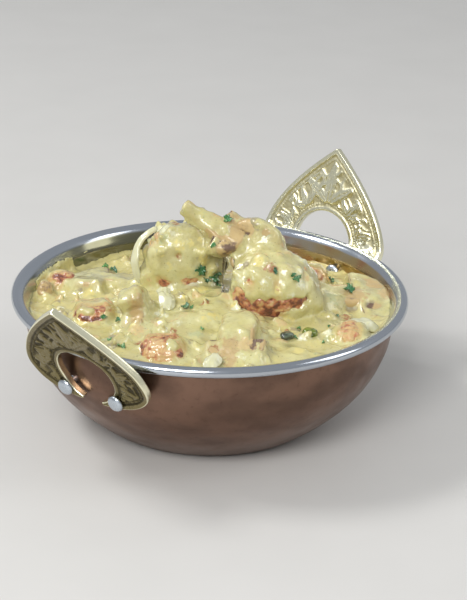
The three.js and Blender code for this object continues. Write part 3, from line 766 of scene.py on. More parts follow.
for number, (name, chunk) in enumerate(CHICKEN.items()):
    chunk_points, chunk_faces, chunk_sear = chunk_skin(chunk, 20 + 10 * number)
    piece(f"{name}_chunk", chunk_points, chunk_faces, chicken, "chicken", [name], {"sear": chunk_sear})

# ---------------------------------------------------------------------------------------
# The mushrooms
# ---------------------------------------------------------------------------------------
# Thick lengthways slices of button mushroom, softened in the sauce. A slice shows the pale
# flesh of the cap, the purple brown gills under it and the stem. One thin bit lies by the wall.

CAP_EDGE = np.radians(96)
CAP_SHARE = 0.5
NECK_SHARE = 0.64
NECK_DROP = 0.18
MUSHROOMS = {
    "mushroom_top": {
        "cap": 20, "height": 10, "stem": 9, "length": 16, "thickness": 8, "bend": -0.2,
        "at": (5.5, -0.7, 76.6), "turn": (-66, -27, 42), "coat": 0.3, "waist": -0.42,
        "spots": ((1.0, -8.6, 72.5, 4.0, 1.6, 1.0),),
    },
    "mushroom_right_crest": {
        "cap": 25, "height": 9.5, "stem": 10, "length": 11, "thickness": 7, "bend": -0.3,
        "at": (12.5, -13.5, 72.2), "turn": (-40, 52, 66), "coat": 0.75,
        "spots": ((9.6, -9, 79.3, 3.0, 0.9, 0.3), (4.0, -14, 70.0, 3.0, 0.9, 0.6),),
    },
    "mushroom_upright": {
        "cap": 22, "height": 11, "stem": 11, "length": 17, "thickness": 9, "bend": 0.15,
        "at": (-35, 8, 51), "turn": (40, 30, 62), "coat": 0.6,
        "spots": ((-43, 1.5, 55, 5, 1.1, 0.25), (-47, -1, 49, 4.5, 1.7, 0.9)),
    },
    "mushroom_front": {
        "cap": 23, "height": 13, "stem": 13, "length": 18, "thickness": 9, "bend": 0.2,
        "at": (-33.5, -40, 48.8), "turn": (214, -22, 5), "coat": 0.7,
        "spots": (
            (-21, -31.5, 55, 8, -0.5, 0.0), (-41, -43.0, 51, 5.5, 1.35, 0.2),
            (-33, -48.5, 52, 3.4, 1.7, 0.7),
        ),
    },
    "mushroom_right": {
        "cap": 34, "height": 13, "stem": 13, "length": 18, "thickness": 8, "bend": -0.1,
        "at": (43.5, -43.5, 46.5), "turn": (-40, -4, 12), "coat": 0.35,
        "spots": ((50, -54, 51, 4, 0.9, 0.2), (37, -42, 50.5, 4, 0.5, 0.5)),
    },
    "mushroom_left": {
        "cap": 24, "height": 13, "stem": 10, "length": 17, "thickness": 8, "bend": 0.15,
        "at": (-13, 47, 46), "turn": (122, -4, 6), "coat": 0.45,
        "spots": ((-6, 36, 50, 4, 0.8, 0.6), (-25, 45, 48, 3, 0.8, 0.7)),
    },
}
WALL_BIT = {
    "size": (9, 6, 9), "seed": 2.9, "at": (-33.5, 59.5, 46), "turn": (119, 0, 0), "coat": 0.7,
    "spots": ((-35, 58, 49, 3.4, 1.9, 0.6),),
}


def slice_outline(slice_of, steps=120):
    """The outline of a mushroom cut lengthways, anticlockwise from the top of its cap.

    The cap is an ellipse for CAP_EDGE each way, a straight gill edge runs in to the neck, and
    the stem's half width is stem / 2 (1 + waist sin πa^1.3) √(1 - a³) at share a of its length.
    The cap takes up the first CAP_SHARE of each side's points, and the stem those after
    NECK_SHARE."""
    share = np.linspace(0, 1, steps // 2 + 1)
    turn = CAP_EDGE * np.clip(share / CAP_SHARE, 0, 1)
    cap = np.column_stack([slice_of["cap"] / 2 * np.sin(turn), slice_of["height"] * np.cos(turn)])
    neck = np.array([slice_of["stem"] / 2, -NECK_DROP * slice_of["height"]])
    inward = np.clip((share - CAP_SHARE) / (NECK_SHARE - CAP_SHARE), 0, 1)[:, None]
    along = np.clip((share - NECK_SHARE) / (1 - NECK_SHARE), 0, 1)
    waist = 1 + slice_of.get("waist", 0.12) * np.sin(np.pi * along**1.3)
    width = neck[0] * waist * np.sqrt(1 - along**3)
    stem = np.column_stack([width, neck[1] - slice_of["length"] * np.sin(along * np.pi / 2)])
    half = np.where((share <= CAP_SHARE)[:, None], cap, cap[-1] * (1 - inward) + neck * inward)
    half = np.where((share >= NECK_SHARE)[:, None], stem, half)
    return np.concatenate([half, half[-2:0:-1] * [-1, 1]])


def slice_lift(slice_of, x, y):
    """How far the slice is bent out of flat: bend · cap · ((x / cap)² - (y / cap)²)."""
    return slice_of["bend"] * slice_of["cap"] * ((x / slice_of["cap"]) ** 2 - (y / slice_of["cap"]) ** 2)


def slice_half(slice_of, y):
    """Half the slice's thickness: less along a stem with a narrow waist."""
    along = np.clip((-NECK_DROP * slice_of["height"] - y) / slice_of["length"], 0, 1)
    narrow = min(slice_of.get("waist", 0), 0) * np.sin(np.pi * along**1.3) ** 2
    return slice_of["thickness"] / 2 * (1 + narrow)


def gill_share(slice_of, x, y):
    """1 in the gills: beside the stem, under a curve that falls towards the cap's edge."""
    side = np.abs(x) / (slice_of["cap"] / 2)
    top = slice_of["height"] * (0.42 - 0.5 * side**2)
    beside = np.clip((np.abs(x) - slice_of["stem"] * 0.47) / 0.8, 0, 1)
    return beside * np.clip(top - y, 0, 1) * np.clip((y + 0.2 * slice_of["height"]) / 0.6 + 1, 0, 1)


def slice_distance(points, slice_of, edge=1.2):
    """How far points lie outside a slice: the distance to its outline in its own plane and the
    distance to its two cut faces, joined with rounded edges."""
    x, y, z = np.moveaxis(local_to(points, slice_of), -1, 0)
    outline = slice_outline(slice_of, 56)
    nearest = np.full(x.shape, 1e9)
    inside = np.zeros(x.shape, bool)
    for (ax, ay), (bx, by) in zip(outline, np.roll(outline, -1, axis=0)):
        dx, dy = bx - ax, by - ay
        share = np.clip(((x - ax) * dx + (y - ay) * dy) / (dx * dx + dy * dy + 1e-9), 0, 1)
        nearest = np.minimum(nearest, (x - ax - share * dx) ** 2 + (y - ay - share * dy) ** 2)
        crosses = (ay > y) != (by > y)
        inside ^= crosses & (x < dx * (y - ay) / (dy if abs(dy) > 1e-9 else 1e-9) + ax)
    flat = np.sqrt(nearest) * np.where(inside, -1, 1)
    deep = np.abs(z - slice_lift(slice_of, x, y)) - slice_half(slice_of, y)
    out = np.hypot(np.maximum(flat + edge, 0), np.maximum(deep + edge, 0))
    return out + np.minimum(np.maximum(flat + edge, deep + edge), 0) - edge


def slice_skin(slice_of, seed):
    """The outline shrunk towards the neck for the two cut faces and rounded over the rim, with
    the gills sunk and ribbed, the stem's fibres, and soft lumps all over."""
    outline = slice_outline(slice_of, 220)
    centre = np.array([0, -0.14 * slice_of["height"]])
    faces_in = np.linspace(0.03, 0.84, 32)
    round_over = np.radians(np.linspace(0, 90, 6))
    rim = 0.84 + 0.16 * np.sin(round_over)
    shrink = np.concatenate([faces_in, rim[1:], rim[::-1][1:], faces_in[::-1][1:]])
    top = np.concatenate([0 * faces_in + 1, 0.4 + 0.6 * np.cos(round_over)[1:]])
    level = np.concatenate([top, -top[::-1][1:]])
    level = np.interp(np.linspace(0, 1, len(shrink)), np.linspace(0, 1, len(level)), level)
    flat = centre + (outline - centre) * shrink[:, None, None]
    x, y = flat[..., 0], flat[..., 1]
    gills = gill_share(slice_of, x, y) * (shrink < 0.9)[:, None]
    fibre = lumps(np.stack([x, y * 0.2, 0 * x], axis=-1), 0.9, seed)
    groove = gills * (0.5 + 0.22 * np.sin(x * 7.0)) + 0.12 * fibre * (1 - gills)
    on_face = np.sign(level) * (np.abs(level) > 0.95)
    z = level[:, None] * slice_half(slice_of, y) - on_face[:, None] * groove
    local = np.stack([x, y, z + slice_lift(slice_of, x, y)], axis=-1)
    away = local / np.linalg.norm(local + 1e-6, axis=-1, keepdims=True)
    uneven = 0.4 * lumps(local, 5.0, seed + 1) + 0.15 * lumps(local, 2.0, seed + 2)
    points = placed(local + away * uneven[..., None], slice_of)
    brown = np.maximum(gills, spotted(points, slice_of["spots"], 5, 0.9))
    return *closed_rows(points), np.append(brown, [0, 0])


mushroom, mushroom_tree, mushroom_shader = finish_of(
    "soft_mushroom", (205, 178, 130), 0.3, Coat_Weight=0.4, Coat_Roughness=0.1,
    Subsurface_Weight=0.15, Subsurface_Scale=0.002, Subsurface_Radius=(1.0, 0.8, 0.5))
gill_edge = ranged(noise(mushroom_tree, 1.8, 4.0), 0.35, 0.65, -0.35, 0.2)
gill_tone = blended(noise(mushroom_tree, 1.5, 2.0), (140, 114, 92), (84, 64, 54))
paint(mushroom_shader, "Base Color", layered(
    blended(noise(mushroom_tree, 5.0, 4.0), (206, 184, 132), (178, 148, 100)),
    (combined("ADD", attribute(mushroom_tree, "gill"), gill_edge), 0.2, 0.8, 1.0, gill_tone)))
roughened(mushroom_shader, noise(mushroom_tree, 1.1, 3.0), 0.15)

mushroom_skins = {
    f"{name}_slice": (name, slice_skin(slice_of, 200 + 10 * number))
    for number, (name, slice_of) in enumerate(MUSHROOMS.items())
}
mushroom_skins["mushroom_wall_bit_chunk"] = ("mushroom_wall_bit", chunk_skin(WALL_BIT, 300, 60, 90, 0.7))
for name, (replaced, (slice_points, slice_faces, slice_gills)) in mushroom_skins.items():
    piece(name, slice_points, slice_faces, mushroom, "mushroom", [replaced], {"gill": slice_gills})

# ---------------------------------------------------------------------------------------
# The onion
# ---------------------------------------------------------------------------------------
# Petals of onion cooked until they are clear. Each is a piece of a thin round layer, so it
# curves both ways; fine lines run along it and its edges are soft.

ONIONS = {
    "onion_back": {
        "length": 34, "width": 5.5, "arc": 150, "thickness": 1.6, "crumple": 0.35,
        "at": (-9, 32, 60), "turn": (40, 78, -75),
    },
    "onion_middle": {
        "length": 16, "width": 7, "arc": 70, "thickness": 1.1,
        "at": (-20.5, 6, 54.6), "turn": (50, 12, 18),
    },
    "onion_right": {
        "length": 13, "width": 8, "arc": 80, "thickness": 1.1,
        "at": (18.5, -62.5, 49.8), "turn": (-45, -8, 12),
    },
    "onion_front": {
        "length": 12, "width": 6, "arc": 90, "thickness": 1.1,
        "at": (-50.5, -41.5, 51), "turn": (200, -20, 8),
    },
}


def petal_skin(petal, seed, along_steps=60, across_steps=24):
    """A strip bent along an arc and dished across: the point at turn t and share s across lies
    at radius length / arc + 0.18 width (1 - s²), moved in or out by half the thickness, which
    thins to nothing at the sides. Each section is one closed ring, and the whole is crumpled."""
    bend = petal["length"] / np.radians(petal["arc"])
    share = np.linspace(0.012, 0.988, along_steps)
    turn = np.radians(petal["arc"]) * (share - 0.5)
    half = petal["width"] / 2 * (0.2 + 0.8 * np.sin(np.pi * share) ** 0.6)
    ring = np.linspace(0, 2 * np.pi, 2 * across_steps, endpoint=False)
    across, side = np.cos(ring), np.sin(ring)
    side = np.sign(side) * np.abs(side) ** 0.5
    ends = np.clip(np.minimum(share, 1 - share) / 0.05, 0, 1) ** 0.5
    lined = 0.12 * np.sin(across * 9)
    dished = bend + 0.18 * petal["width"] * (1 - across**2)
    radius = dished + petal["thickness"] / 2 * side * ends[:, None] + lined
    along, up = radius * np.sin(turn)[:, None], radius * np.cos(turn)[:, None] - bend
    local = np.stack([half[:, None] * across, along, up], axis=-1)
    outline = np.stack([0 * share, 9 * share, 0 * share], axis=-1)
    local[..., 0] *= 1 + 0.3 * lumps(outline, 1.6, seed + 20)[:, None]
    crumple = petal.get("crumple", 1.1)
    local = local + crumple * lumps(local, 3.0, seed)[..., None] * [0.15, 0.15, 1.0]
    return closed_rows(placed(local, petal))


onion, onion_tree, onion_shader = finish_of(
    "clear_onion", (220, 216, 176), 0.16, Coat_Weight=0.5, Coat_Roughness=0.06, Transmission_Weight=0.1,
    Subsurface_Weight=0.4, Subsurface_Scale=0.003, Subsurface_Radius=(1.0, 0.95, 0.7))
onion_tone = noise(onion_tree, 3.0, 3.0, (1, 1, 2))
paint(onion_shader, "Base Color", blended(onion_tone, (226, 225, 196), (208, 205, 158)))
roughened(onion_shader, noise(onion_tree, 0.8, 2.0, (1, 1, 3)), 0.06)

for number, (name, petal) in enumerate(ONIONS.items()):
    piece(f"{name}_petal", *petal_skin(petal, 400 + number), onion, "onion", [name])

# ---------------------------------------------------------------------------------------
# The sauce
# ---------------------------------------------------------------------------------------
# A thick creamy sauce of yogurt, cashew and herbs fills the pan to just under its rim, stands
# higher at the front, and coats the heap: it hangs in soft folds and fills every corner.

SAUCE_LEVEL = 43.0
FRONT_RISE = 5.5
FRONT_TURN = 217.5
MOUND_HEIGHT = 9.5
MOUND_RADIUS = 33.0
SAUCE_BOTTOM = 37.0
SAUCE_DIPS = ((-60, -24, 8, 3.0), (-46, -50, 7, 2.2), (-55, 28, 6, 1.8), (15, 5, 9, 3.0))
STEP = 0.7
TONES = {
    "meat": (206, 182, 130), "onion": (224, 223, 190), "green": (184, 186, 138),
    "yellow": (218, 204, 128), "tan": (188, 162, 114), "grey": (160, 150, 118),
    "brown": (158, 104, 66), "shade": (62, 46, 24),
}
SHRED_TONES = "meat meat meat onion onion green green yellow yellow grey grey brown".split()
POOL_SHREDS = 300
POOL_RADIUS = 69
CHUNK_SHREDS = 60
SLICE_SHREDS = 26
HEAP_FOOT = 60
INTO_WALL = 0.5
# the dark gap between the two big chunks: a slot 3 mm wide, square to the line that joins them
CLEFT = {"at": (7.0, -3.6, 59.0), "turn": (37.5, 0, 0), "half": (1.7, 13.0, 9.5)}
# places where the sauce stands up or sinks (x, y, z, radius, rise), under the tone that it shows
# there; the plain ones keep the colour round them
TOUCHES = {
    "yellow": (
        (-5.3, 11.7, 70.5, 3, 1.2), (-1.5, 9.2, 71, 2.5, 1), (1.3, 6.7, 71.2, 2.5, 1.2),
        (-2.5, 0.7, 52.9, 3.2, 1.6), (-7.5, 15, 62, 3, 1.2), (-1, 2, 65, 3, 1.2),
        (-4.2, -23.2, 64, 1.4, 0.4), (0.1, -33.8, 62.1, 2, -0.8), (-21, -16.8, 52.1, 3, 1.3),
        (-17.7, -58.2, 48.7, 3.6, 1), (-26, 43, 47.5, 3, 1),
    ),
    # where a grey touch sinks the sauce, its grey is painted shade in the hollow it makes, as under the
    # raised edge of the right mushroom and in the crest's hollow
    "grey": (
        (-6.6, 26.5, 70.6, 4, -2), (-5, -17.5, 56, 2, 0.8), (-0.5, -18, 69, 2.2, -0.6),
        (9.6, -9, 79.3, 3.4, -2.4), (-41.7, -23.6, 49.5, 2.6, 0.9), (-29, -48.4, 55, 2.4, -0.6),
        (-2.4, -44.6, 48.9, 2.6, 1), (10.8, -11, 81, 4, 0), (33.8, -45.7, 47, 3, -1.4),
        (40, -51.5, 47.5, 2.6, -1.2), (-24, 47.5, 47, 2.4, 0.8),
    ),
    "onion": (
        (-4.7, 20.1, 75.1, 2.4, 0.9), (2.5, 1, 52.8, 2.4, 1.6), (-8.6, 24.6, 55.5, 2.4, 1.8),
        (-2.8, -25, 66.2, 1.8, 1), (-2.3, -29.2, 64.6, 2.6, 1.3), (3.5, -37.3, 59.5, 2, 1.2),
        (8.4, -38.4, 63, 2.4, 0.9), (-30.8, -2, 51.1, 2.2, 1.4), (-32.5, -10, 50.9, 2, 1),
        (-39.6, -46.3, 50.1, 2.4, 0.9),
    ),
    "brown": (
        (-7, 11.2, 66.5, 1.1, -0.5), (-5.8, -20.1, 58.9, 2.4, -0.6), (-42.5, -36, 51.5, 2.2, -1),
        (-44, -39, 49.5, 2, -0.8), (-52.7, -8.3, 48.7, 2.2, -1), (66, -9, 46, 1.6, 1.6),
        (-20, 52, 48.5, 2.2, 1),
    ),
    "green": (
        (-6, 13.5, 58, 2.5, -1), (10.8, -19, 79, 2.6, -1.2), (-34.3, -20.5, 50.3, 3, 0.6),
        (28, -39.5, 50.6, 4, 0.8),
    ),
    "meat": (
        (4, -22, 71, 3, 0.8), (11.8, -14, 77, 1.8, 0.8), (-25.9, -7.6, 52, 2.4, 0.8),
        (-14, -47, 49.2, 2.6, 1), (46, -17.6, 50.7, 2.2, 1), (62, -12, 47, 2.6, 1.4),
        (-34.5, -44, 53.5, 4, -0.3), (-46.5, -1.5, 50.5, 4, 0.4), (50, -52, 51, 4, 0.3),
    ),
    "tan": (
        (-41, -41.5, 51, 4.5, 0.6), (-43, -45, 49, 3.6, 0.8), (-37, -40, 53.5, 4.5, 0.3),
        (-40, 4.1, 59, 4, 0.4), (-43.2, 1.8, 55, 4.5, 0.3), (-36, 8, 61, 3, 0.6), (40, -44, 50.5, 6, 0.3),
        (8, -3, 82, 4, 0.4),
    ),
    "plain": (
        (43.4, -47.7, 49.2, 5, 1.2), (17, -42, 53, 8, 2.6), (24, -38, 49, 7, 2), (-4, 30, 52, 6, 2),
    ),
}


def smooth_step(value, low, high):
    """0 below low, 1 above high, and 3 t² - 2 t³ between."""
    t = np.clip((value - low) / (high - low), 0, 1)
    return t * t * (3 - 2 * t)


def sauce_level(x, y):
    """The height of the loose sauce: it rises towards the front and in a mound under the heap,
    with low ripples over the small things in it and a raised edge where it clings to the wall."""
    inner = wall([SAUCE_LEVEL], STEEL_INSIDE)[0, 0]
    ahead = (x * np.cos(np.radians(FRONT_TURN)) + y * np.sin(np.radians(FRONT_TURN))) / inner
    level = SAUCE_LEVEL + FRONT_RISE * smooth_step(ahead, -0.6, 0.8)
    level = level + MOUND_HEIGHT * np.exp(-(x**2 + y**2) / MOUND_RADIUS**2)
    flat = np.stack([x, y, 0 * x], axis=-1)
    level = level + lumps(flat, 11, 501) + 0.35 * lumps(flat, 4.5, 502)
    for dip_x, dip_y, radius, depth in SAUCE_DIPS:
        level = level - depth * np.exp(-((x - dip_x) ** 2 + (y - dip_y) ** 2) / radius**2)
    return level + 1.3 * np.exp(-np.maximum(inner - np.hypot(x, y), 0) / 1.6)


def smooth_union(first, second, width):
    """The nearer of two distances, with the corner between them filled over the width."""
    share = np.clip(0.5 + 0.5 * (second - first) / width, 0, 1)
    return second + (first - second) * share - width * share * (1 - share)


def wall_film(x, y, z):
    """The thickness of the film left on the wall above the sauce: a ragged smear at the left
    and a thin wet edge at the right."""
    turn = np.degrees(np.arctan2(y, x))
    ragged = lumps(np.stack([x, y, z * 1.3], axis=-1), 3.2, 511)
    left = 1.9 * np.exp(-(((turn - 104) / 15) ** 2)) * smooth_step(51.5 - z, 0, 3)
    right = 1.4 * np.exp(-(((turn + 44) / 13) ** 2)) * smooth_step(50.5 - z, 0, 2)
    return left + right + 0.5 * ragged - 0.5


side_steps = np.arange(-76.3, 76.4, STEP)
height_steps = np.arange(SAUCE_BOTTOM, 92.5, STEP)
flat_x, flat_y = np.meshgrid(side_steps, side_steps, indexing="ij")
level = sauce_level(flat_x, flat_y)
slope_x, slope_y = np.gradient(level, STEP)
steep = np.sqrt(1 + slope_x**2 + slope_y**2)
body = ((height_steps - level[..., None]) / steep[..., None]).astype(np.float32)


def near(at, reach):
    """The part of the grid within reach mm of a point, as slices and as the points in it."""
    grid = (side_steps, side_steps, height_steps)
    spans = tuple(
        slice(*np.searchsorted(steps, (middle - reach, middle + reach)))
        for steps, middle in zip(grid, at)
    )
    axes = [steps[span] for steps, span in zip(grid, spans)]
    return spans, np.stack(np.meshgrid(*axes, indexing="ij"), axis=-1)


def coat_over(points, item, seed):
    """The thickness of the sauce over a piece: its own coat, uneven, less at its bare spots."""
    uneven = 0.45 * lumps(points, 6.0, seed) + 0.22 * lumps(points, 2.4, seed + 1)
    thin = spotted(points, item["spots"], 4)
    ragged = 0.75 * lumps(points, 1.7, seed + 2) * np.clip(thin, 0, 1)
    return item["coat"] + uneven + ragged - thin


for number, chunk in enumerate([*CHICKEN.values(), WALL_BIT]):
    spans, points = near(chunk["at"], max(chunk["size"]) * 0.72 + 5)
    covered = chunk_distance(points, chunk) - coat_over(points, chunk, 520 + 3 * number)
    body[spans] = smooth_union(body[spans], covered, chunk.get("fillet", FILLET))
for number, slice_of in enumerate(MUSHROOMS.values()):
    reach = max(slice_of["cap"] / 2, slice_of["length"] + 2, slice_of["height"]) + 6
    spans, points = near(slice_of["at"], reach)
    edge, fillet = (2.4, 5.0) if slice_of["at"][2] < HEAP_FOOT else (2.0, 2.2)
    covered = slice_distance(points, slice_of, edge) - coat_over(points, slice_of, 560 + 3 * number)
    body[spans] = smooth_union(body[spans], covered, fillet)

tinted = []


def bury(centres, halves, seed, width):
    """Joins small turned ellipsoids, with these half sizes, to the sauce's body: buried shreds
    of chicken, mushroom and onion that only show as lumps."""
    chance = np.random.default_rng(seed)
    tones = chance.choice(SHRED_TONES, len(centres))
    tinted.extend(zip(centres, 1.15 * halves.mean(axis=1), tones))
    for centre, half in zip(centres, halves):
        spans, points = near(centre, half.max() + width + STEP)
        turn = own_axes(chance.uniform(0, 360), chance.uniform(-40, 40), chance.uniform(0, 180))
        local = (points - centre) @ turn.T
        reach = np.linalg.norm(local / half, axis=-1) + 1e-6
        shred = (1 - 1 / reach) * np.linalg.norm(local, axis=-1)
        body[spans] = smooth_union(body[spans], shred, width)


chance = np.random.default_rng(530)
pool_turn = chance.uniform(0, 2 * np.pi, POOL_SHREDS)
pool_out = POOL_RADIUS * np.sqrt(chance.uniform(0, 1, POOL_SHREDS))
pool_half = chance.uniform((1.2, 0.8, 0.6), (4.6, 2.4, 1.5), (POOL_SHREDS, 3))
pool_x, pool_y = pool_out * np.cos(pool_turn), pool_out * np.sin(pool_turn)
pool_z = sauce_level(pool_x, pool_y) + chance.uniform(-1.4, 0.5, POOL_SHREDS)
bury(np.column_stack([pool_x, pool_y, pool_z]), pool_half, 531, 1.5)

for chunk in (CHICKEN["chicken_left"], CHICKEN["chicken_right"]):
    way = chance.normal(size=(CHUNK_SHREDS, 3))
    way /= np.linalg.norm(way, axis=1, keepdims=True)
    centres = placed(way * block_radius(way, chunk["seed"])[:, None] * np.array(chunk["size"]) / 2, chunk)
    centres -= sunk(centres, chunk)[:, None] * (way @ own_axes(*chunk["turn"]))
    halves = chance.uniform((1.8, 1.4, 1.0), (4.4, 3.0, 2.2), (CHUNK_SHREDS, 3))
    shown = spotted(centres, chunk["spots"], 4) < 0.5
    bury(centres[shown], halves[shown], 532, 1.8)
for number, slice_of in enumerate([MUSHROOMS["mushroom_top"], MUSHROOMS["mushroom_right_crest"]]):
    spread = chance.uniform((-0.4, -0.9, -0.4), (0.4, 0.5, 0.4), (SLICE_SHREDS, 3))
    centres = placed(spread * [slice_of["cap"], slice_of["length"], slice_of["thickness"]], slice_of)
    held = np.abs(slice_distance(centres, slice_of)) < 0.9
    halves = chance.uniform((1.2, 0.9, 0.7), (3.4, 2.0, 1.3), (SLICE_SHREDS, 3))
    bury(centres[held], halves[held], 533 + number, 1.6)

for tone, touches in TOUCHES.items():
    for x, y, z, radius, rise in touches:
        spans, points = near((x, y, z), 2.2 * radius)
        body[spans] -= rise * np.exp(-(((points - [x, y, z]) / radius) ** 2).sum(axis=-1))
        if tone in TONES:
            tinted.append((np.array([x, y, z]), radius, tone))

spans, points = near(CLEFT["at"], 15)
slot = np.abs(local_to(points, CLEFT)) - CLEFT["half"]
slot = slot.max(axis=-1) + 0.5 * lumps(points, 4.0, 541)
body[spans] = -smooth_union(-body[spans], slot, 1.2)

# the fine unevenness of the whole surface, wherever the body's surface is close
close = np.argwhere(np.abs(body) < 2.2)
places = close * STEP + [side_steps[0], side_steps[0], SAUCE_BOTTOM]
fold = np.sqrt(lumps(places * [1, 1, 0.6], 6.5, 544) ** 2 + 0.004)
fine = 0.22 * lumps(places, 3.6, 542) + 0.16 * lumps(places, 1.9, 543)
body[tuple(close.T)] -= fine + 1.4 * (0.3 - fold)

# the film on the wall, and the body cut off just inside the steel
inner_radius = np.interp(height_steps, *wall(np.linspace(20, 50, 200), STEEL_INSIDE - INTO_WALL).T[::-1])
from_wall = (inner_radius - np.hypot(flat_x, flat_y)[..., None]).astype(np.float32)
rim_zone = (from_wall < 3.0) & (from_wall > -1.5) & (height_steps < 53.0)
film_cells = np.argwhere(rim_zone)
film_x, film_y = side_steps[film_cells[:, 0]], side_steps[film_cells[:, 1]]
film = from_wall[rim_zone] - wall_film(film_x, film_y, height_steps[film_cells[:, 2]])
body[rim_zone] = smooth_union(body[rim_zone], film, 1.0)
body = np.maximum(body, -from_wall)


def net(field, low, step):
    """The surface where a field on a grid is zero. Each cell that it crosses gets one point, at
    the mean of the places where the cell's edges cross zero, and each crossed grid edge gets
    one face joining the points of the four cells round it."""
    inside = field < 0
    eye = np.eye(3, dtype=int)
    count = np.zeros([n - 1 for n in field.shape], np.uint8)
    for shift in itertools.product((0, 1), repeat=3):
        count += inside[tuple(slice(s, n - 1 + s) for s, n in zip(shift, field.shape))]
    active = (count > 0) & (count < 8)
    index = np.full(active.shape, -1, np.int64)
    cells = np.argwhere(active)
    index[active] = np.arange(len(cells))
    total, crossings = np.zeros((len(cells), 3)), np.zeros(len(cells))
    for axis in range(3):
        others = np.delete(eye, axis, axis=0)
        for b, c in itertools.product((0, 1), repeat=2):
            start = cells + b * others[0] + c * others[1]
            first, last = field[tuple(start.T)], field[tuple((start + eye[axis]).T)]
            crossed = (first < 0) != (last < 0)
            share = np.where(crossed, first / np.where(crossed, first - last, 1), 0)
            total += (start + share[:, None] * eye[axis]) * crossed[:, None]
            crossings += crossed
    points = np.array(low) + step * total / crossings[:, None]
    faces = []
    for axis in range(3):
        sides = [(axis + 1) % 3, (axis + 2) % 3]
        edges = np.argwhere(np.diff(inside, axis=axis))
        across = edges[:, sides]
        edges = edges[((across > 0) & (across < np.array(field.shape)[sides] - 1)).all(axis=1)]
        second, third = eye[sides]
        loop = [edges - second - third, edges - third, edges, edges - second]
        quads = np.stack([index[tuple(cell.T)] for cell in loop], axis=-1)
        rising = inside[tuple(edges.T)]
        faces += [quads[rising], quads[~rising][:, ::-1]]
    return points, np.concatenate(faces)


def bottomed(points, quads):
    """Closes the open edge at the bottom with a fan to one point: the open edges are those that
    only one face uses."""
    ends = np.concatenate([quads[:, [k, (k + 1) % 4]] for k in range(4)])
    size = len(points)
    keys, back = ends[:, 0] * size + ends[:, 1], ends[:, 1] * size + ends[:, 0]
    open_ends = ends[~np.isin(keys, back)]
    middle = np.append(points[open_ends[:, 0]].mean(axis=0)[:2], points[:, 2].min())
    fan = np.stack([open_ends[:, 1], open_ends[:, 0], np.full(len(open_ends), size)], axis=-1)
    return np.concatenate([points, [middle]]), [quads, fan]


sauce_points, sauce_quads = net(body, (side_steps[0], side_steps[0], SAUCE_BOTTOM), STEP)
sauce_points, sauce_faces = bottomed(sauce_points, sauce_quads)


def gap_to(items, distance, reach):
    """How far each point of the sauce's skin is from the nearest of the pieces, where that is
    within the piece's reach of its middle, and 9 mm elsewhere."""
    gap = np.full(len(sauce_points), 9.0)
    for item in items:
        close = np.linalg.norm(sauce_points - np.array(item["at"]), axis=1) < reach(item)
        gap[close] = np.minimum(gap[close], distance(sauce_points[close], item))
    return gap


meat_near = gap_to(CHICKEN.values(), chunk_distance, lambda chunk: max(chunk["size"]))
mushroom_near = gap_to(MUSHROOMS.values(), slice_distance, lambda slice_of: 28)
tint = np.zeros((len(sauce_points), 4))
for centre, radius, tone in tinted:
    close = np.flatnonzero(np.abs(sauce_points - centre).max(axis=1) < 2.2 * radius)
    share = np.exp(-(((sauce_points[close] - centre) / radius) ** 2).sum(axis=1))
    nearer = share > tint[close, 3]
    tint[close[nearer], :3] = linear(*TONES[tone])[:3]
    tint[close[nearer], 3] = share[nearer]
in_cleft = np.abs(local_to(sauce_points, CLEFT)) < np.array(CLEFT["half"]) + [0.7, 0, -0.5]
tint[in_cleft.all(axis=1)] = (*linear(*TONES["shade"])[:3], 1.0)
low_down = smooth_step(sauce_points[:, 2], 52, 46)
sauce_fields = {
    "pool": low_down * smooth_step(np.minimum(meat_near, mushroom_near), 0.5, 4),
    "tint": tint,
    "over_meat": np.exp(-np.maximum(meat_near, 0) / 0.9),
    "over_mushroom": np.exp(-np.maximum(mushroom_near, 0) / 0.9),
}

sauce, sauce_tree, sauce_shader = finish_of(
    "creamy_sauce", (206, 196, 128), 0.24, Coat_Weight=0.8, Coat_Roughness=0.07,
    Subsurface_Weight=0.2, Subsurface_Scale=0.003, Subsurface_Radius=(1.0, 0.8, 0.35))
tint_node = node(sauce_tree, "ShaderNodeAttribute", attribute_name="tint")
tint_edge = ranged(noise(sauce_tree, 1.8, 3.0), 0.3, 0.7, -0.25, 0.25)
tint_share = combined("ADD", tint_node.outputs["Alpha"], tint_edge)
sauce_tone = ranged(noise(sauce_tree, 9.0, 4.0), 0.3, 0.7)
paint(sauce_shader, "Base Color", layered(
    blended(sauce_tone, (206, 201, 148), (196, 187, 124)),
    (noise(sauce_tree, 8, 4.0), 0.48, 0.66, 0.75, (182, 172, 118)),
    (attribute(sauce_tree, "pool"), 0.0, 1.0, 0.8, (202, 190, 126)),
    (attribute(sauce_tree, "over_meat"), 0.35, 1.0, 0.6, (196, 160, 98)),
    (attribute(sauce_tree, "over_mushroom"), 0.4, 1.0, 0.5, (190, 172, 124)),
    (tint_share, 0.25, 0.75, 0.92, tint_node.outputs["Color"]),
    (noise(sauce_tree, 0.9, 1.0), 0.68, 0.76, 0.6, (128, 122, 66))))
roughened(sauce_shader, noise(sauce_tree, 1.3, 4.0), 0.3)
piece("curry_sauce_skin", sauce_points, sauce_faces, sauce, "sauce", ["curry_sauce"], sauce_fields)

# ---------------------------------------------------------------------------------------
# The coriander
# ---------------------------------------------------------------------------------------
# Torn leaves and small flecks of coriander, wet with sauce, lie on the heap and here and
# there on the sauce. Each leaf is a thin lobed blade, curled at its edges.

LEAF_SCALE = 1.8
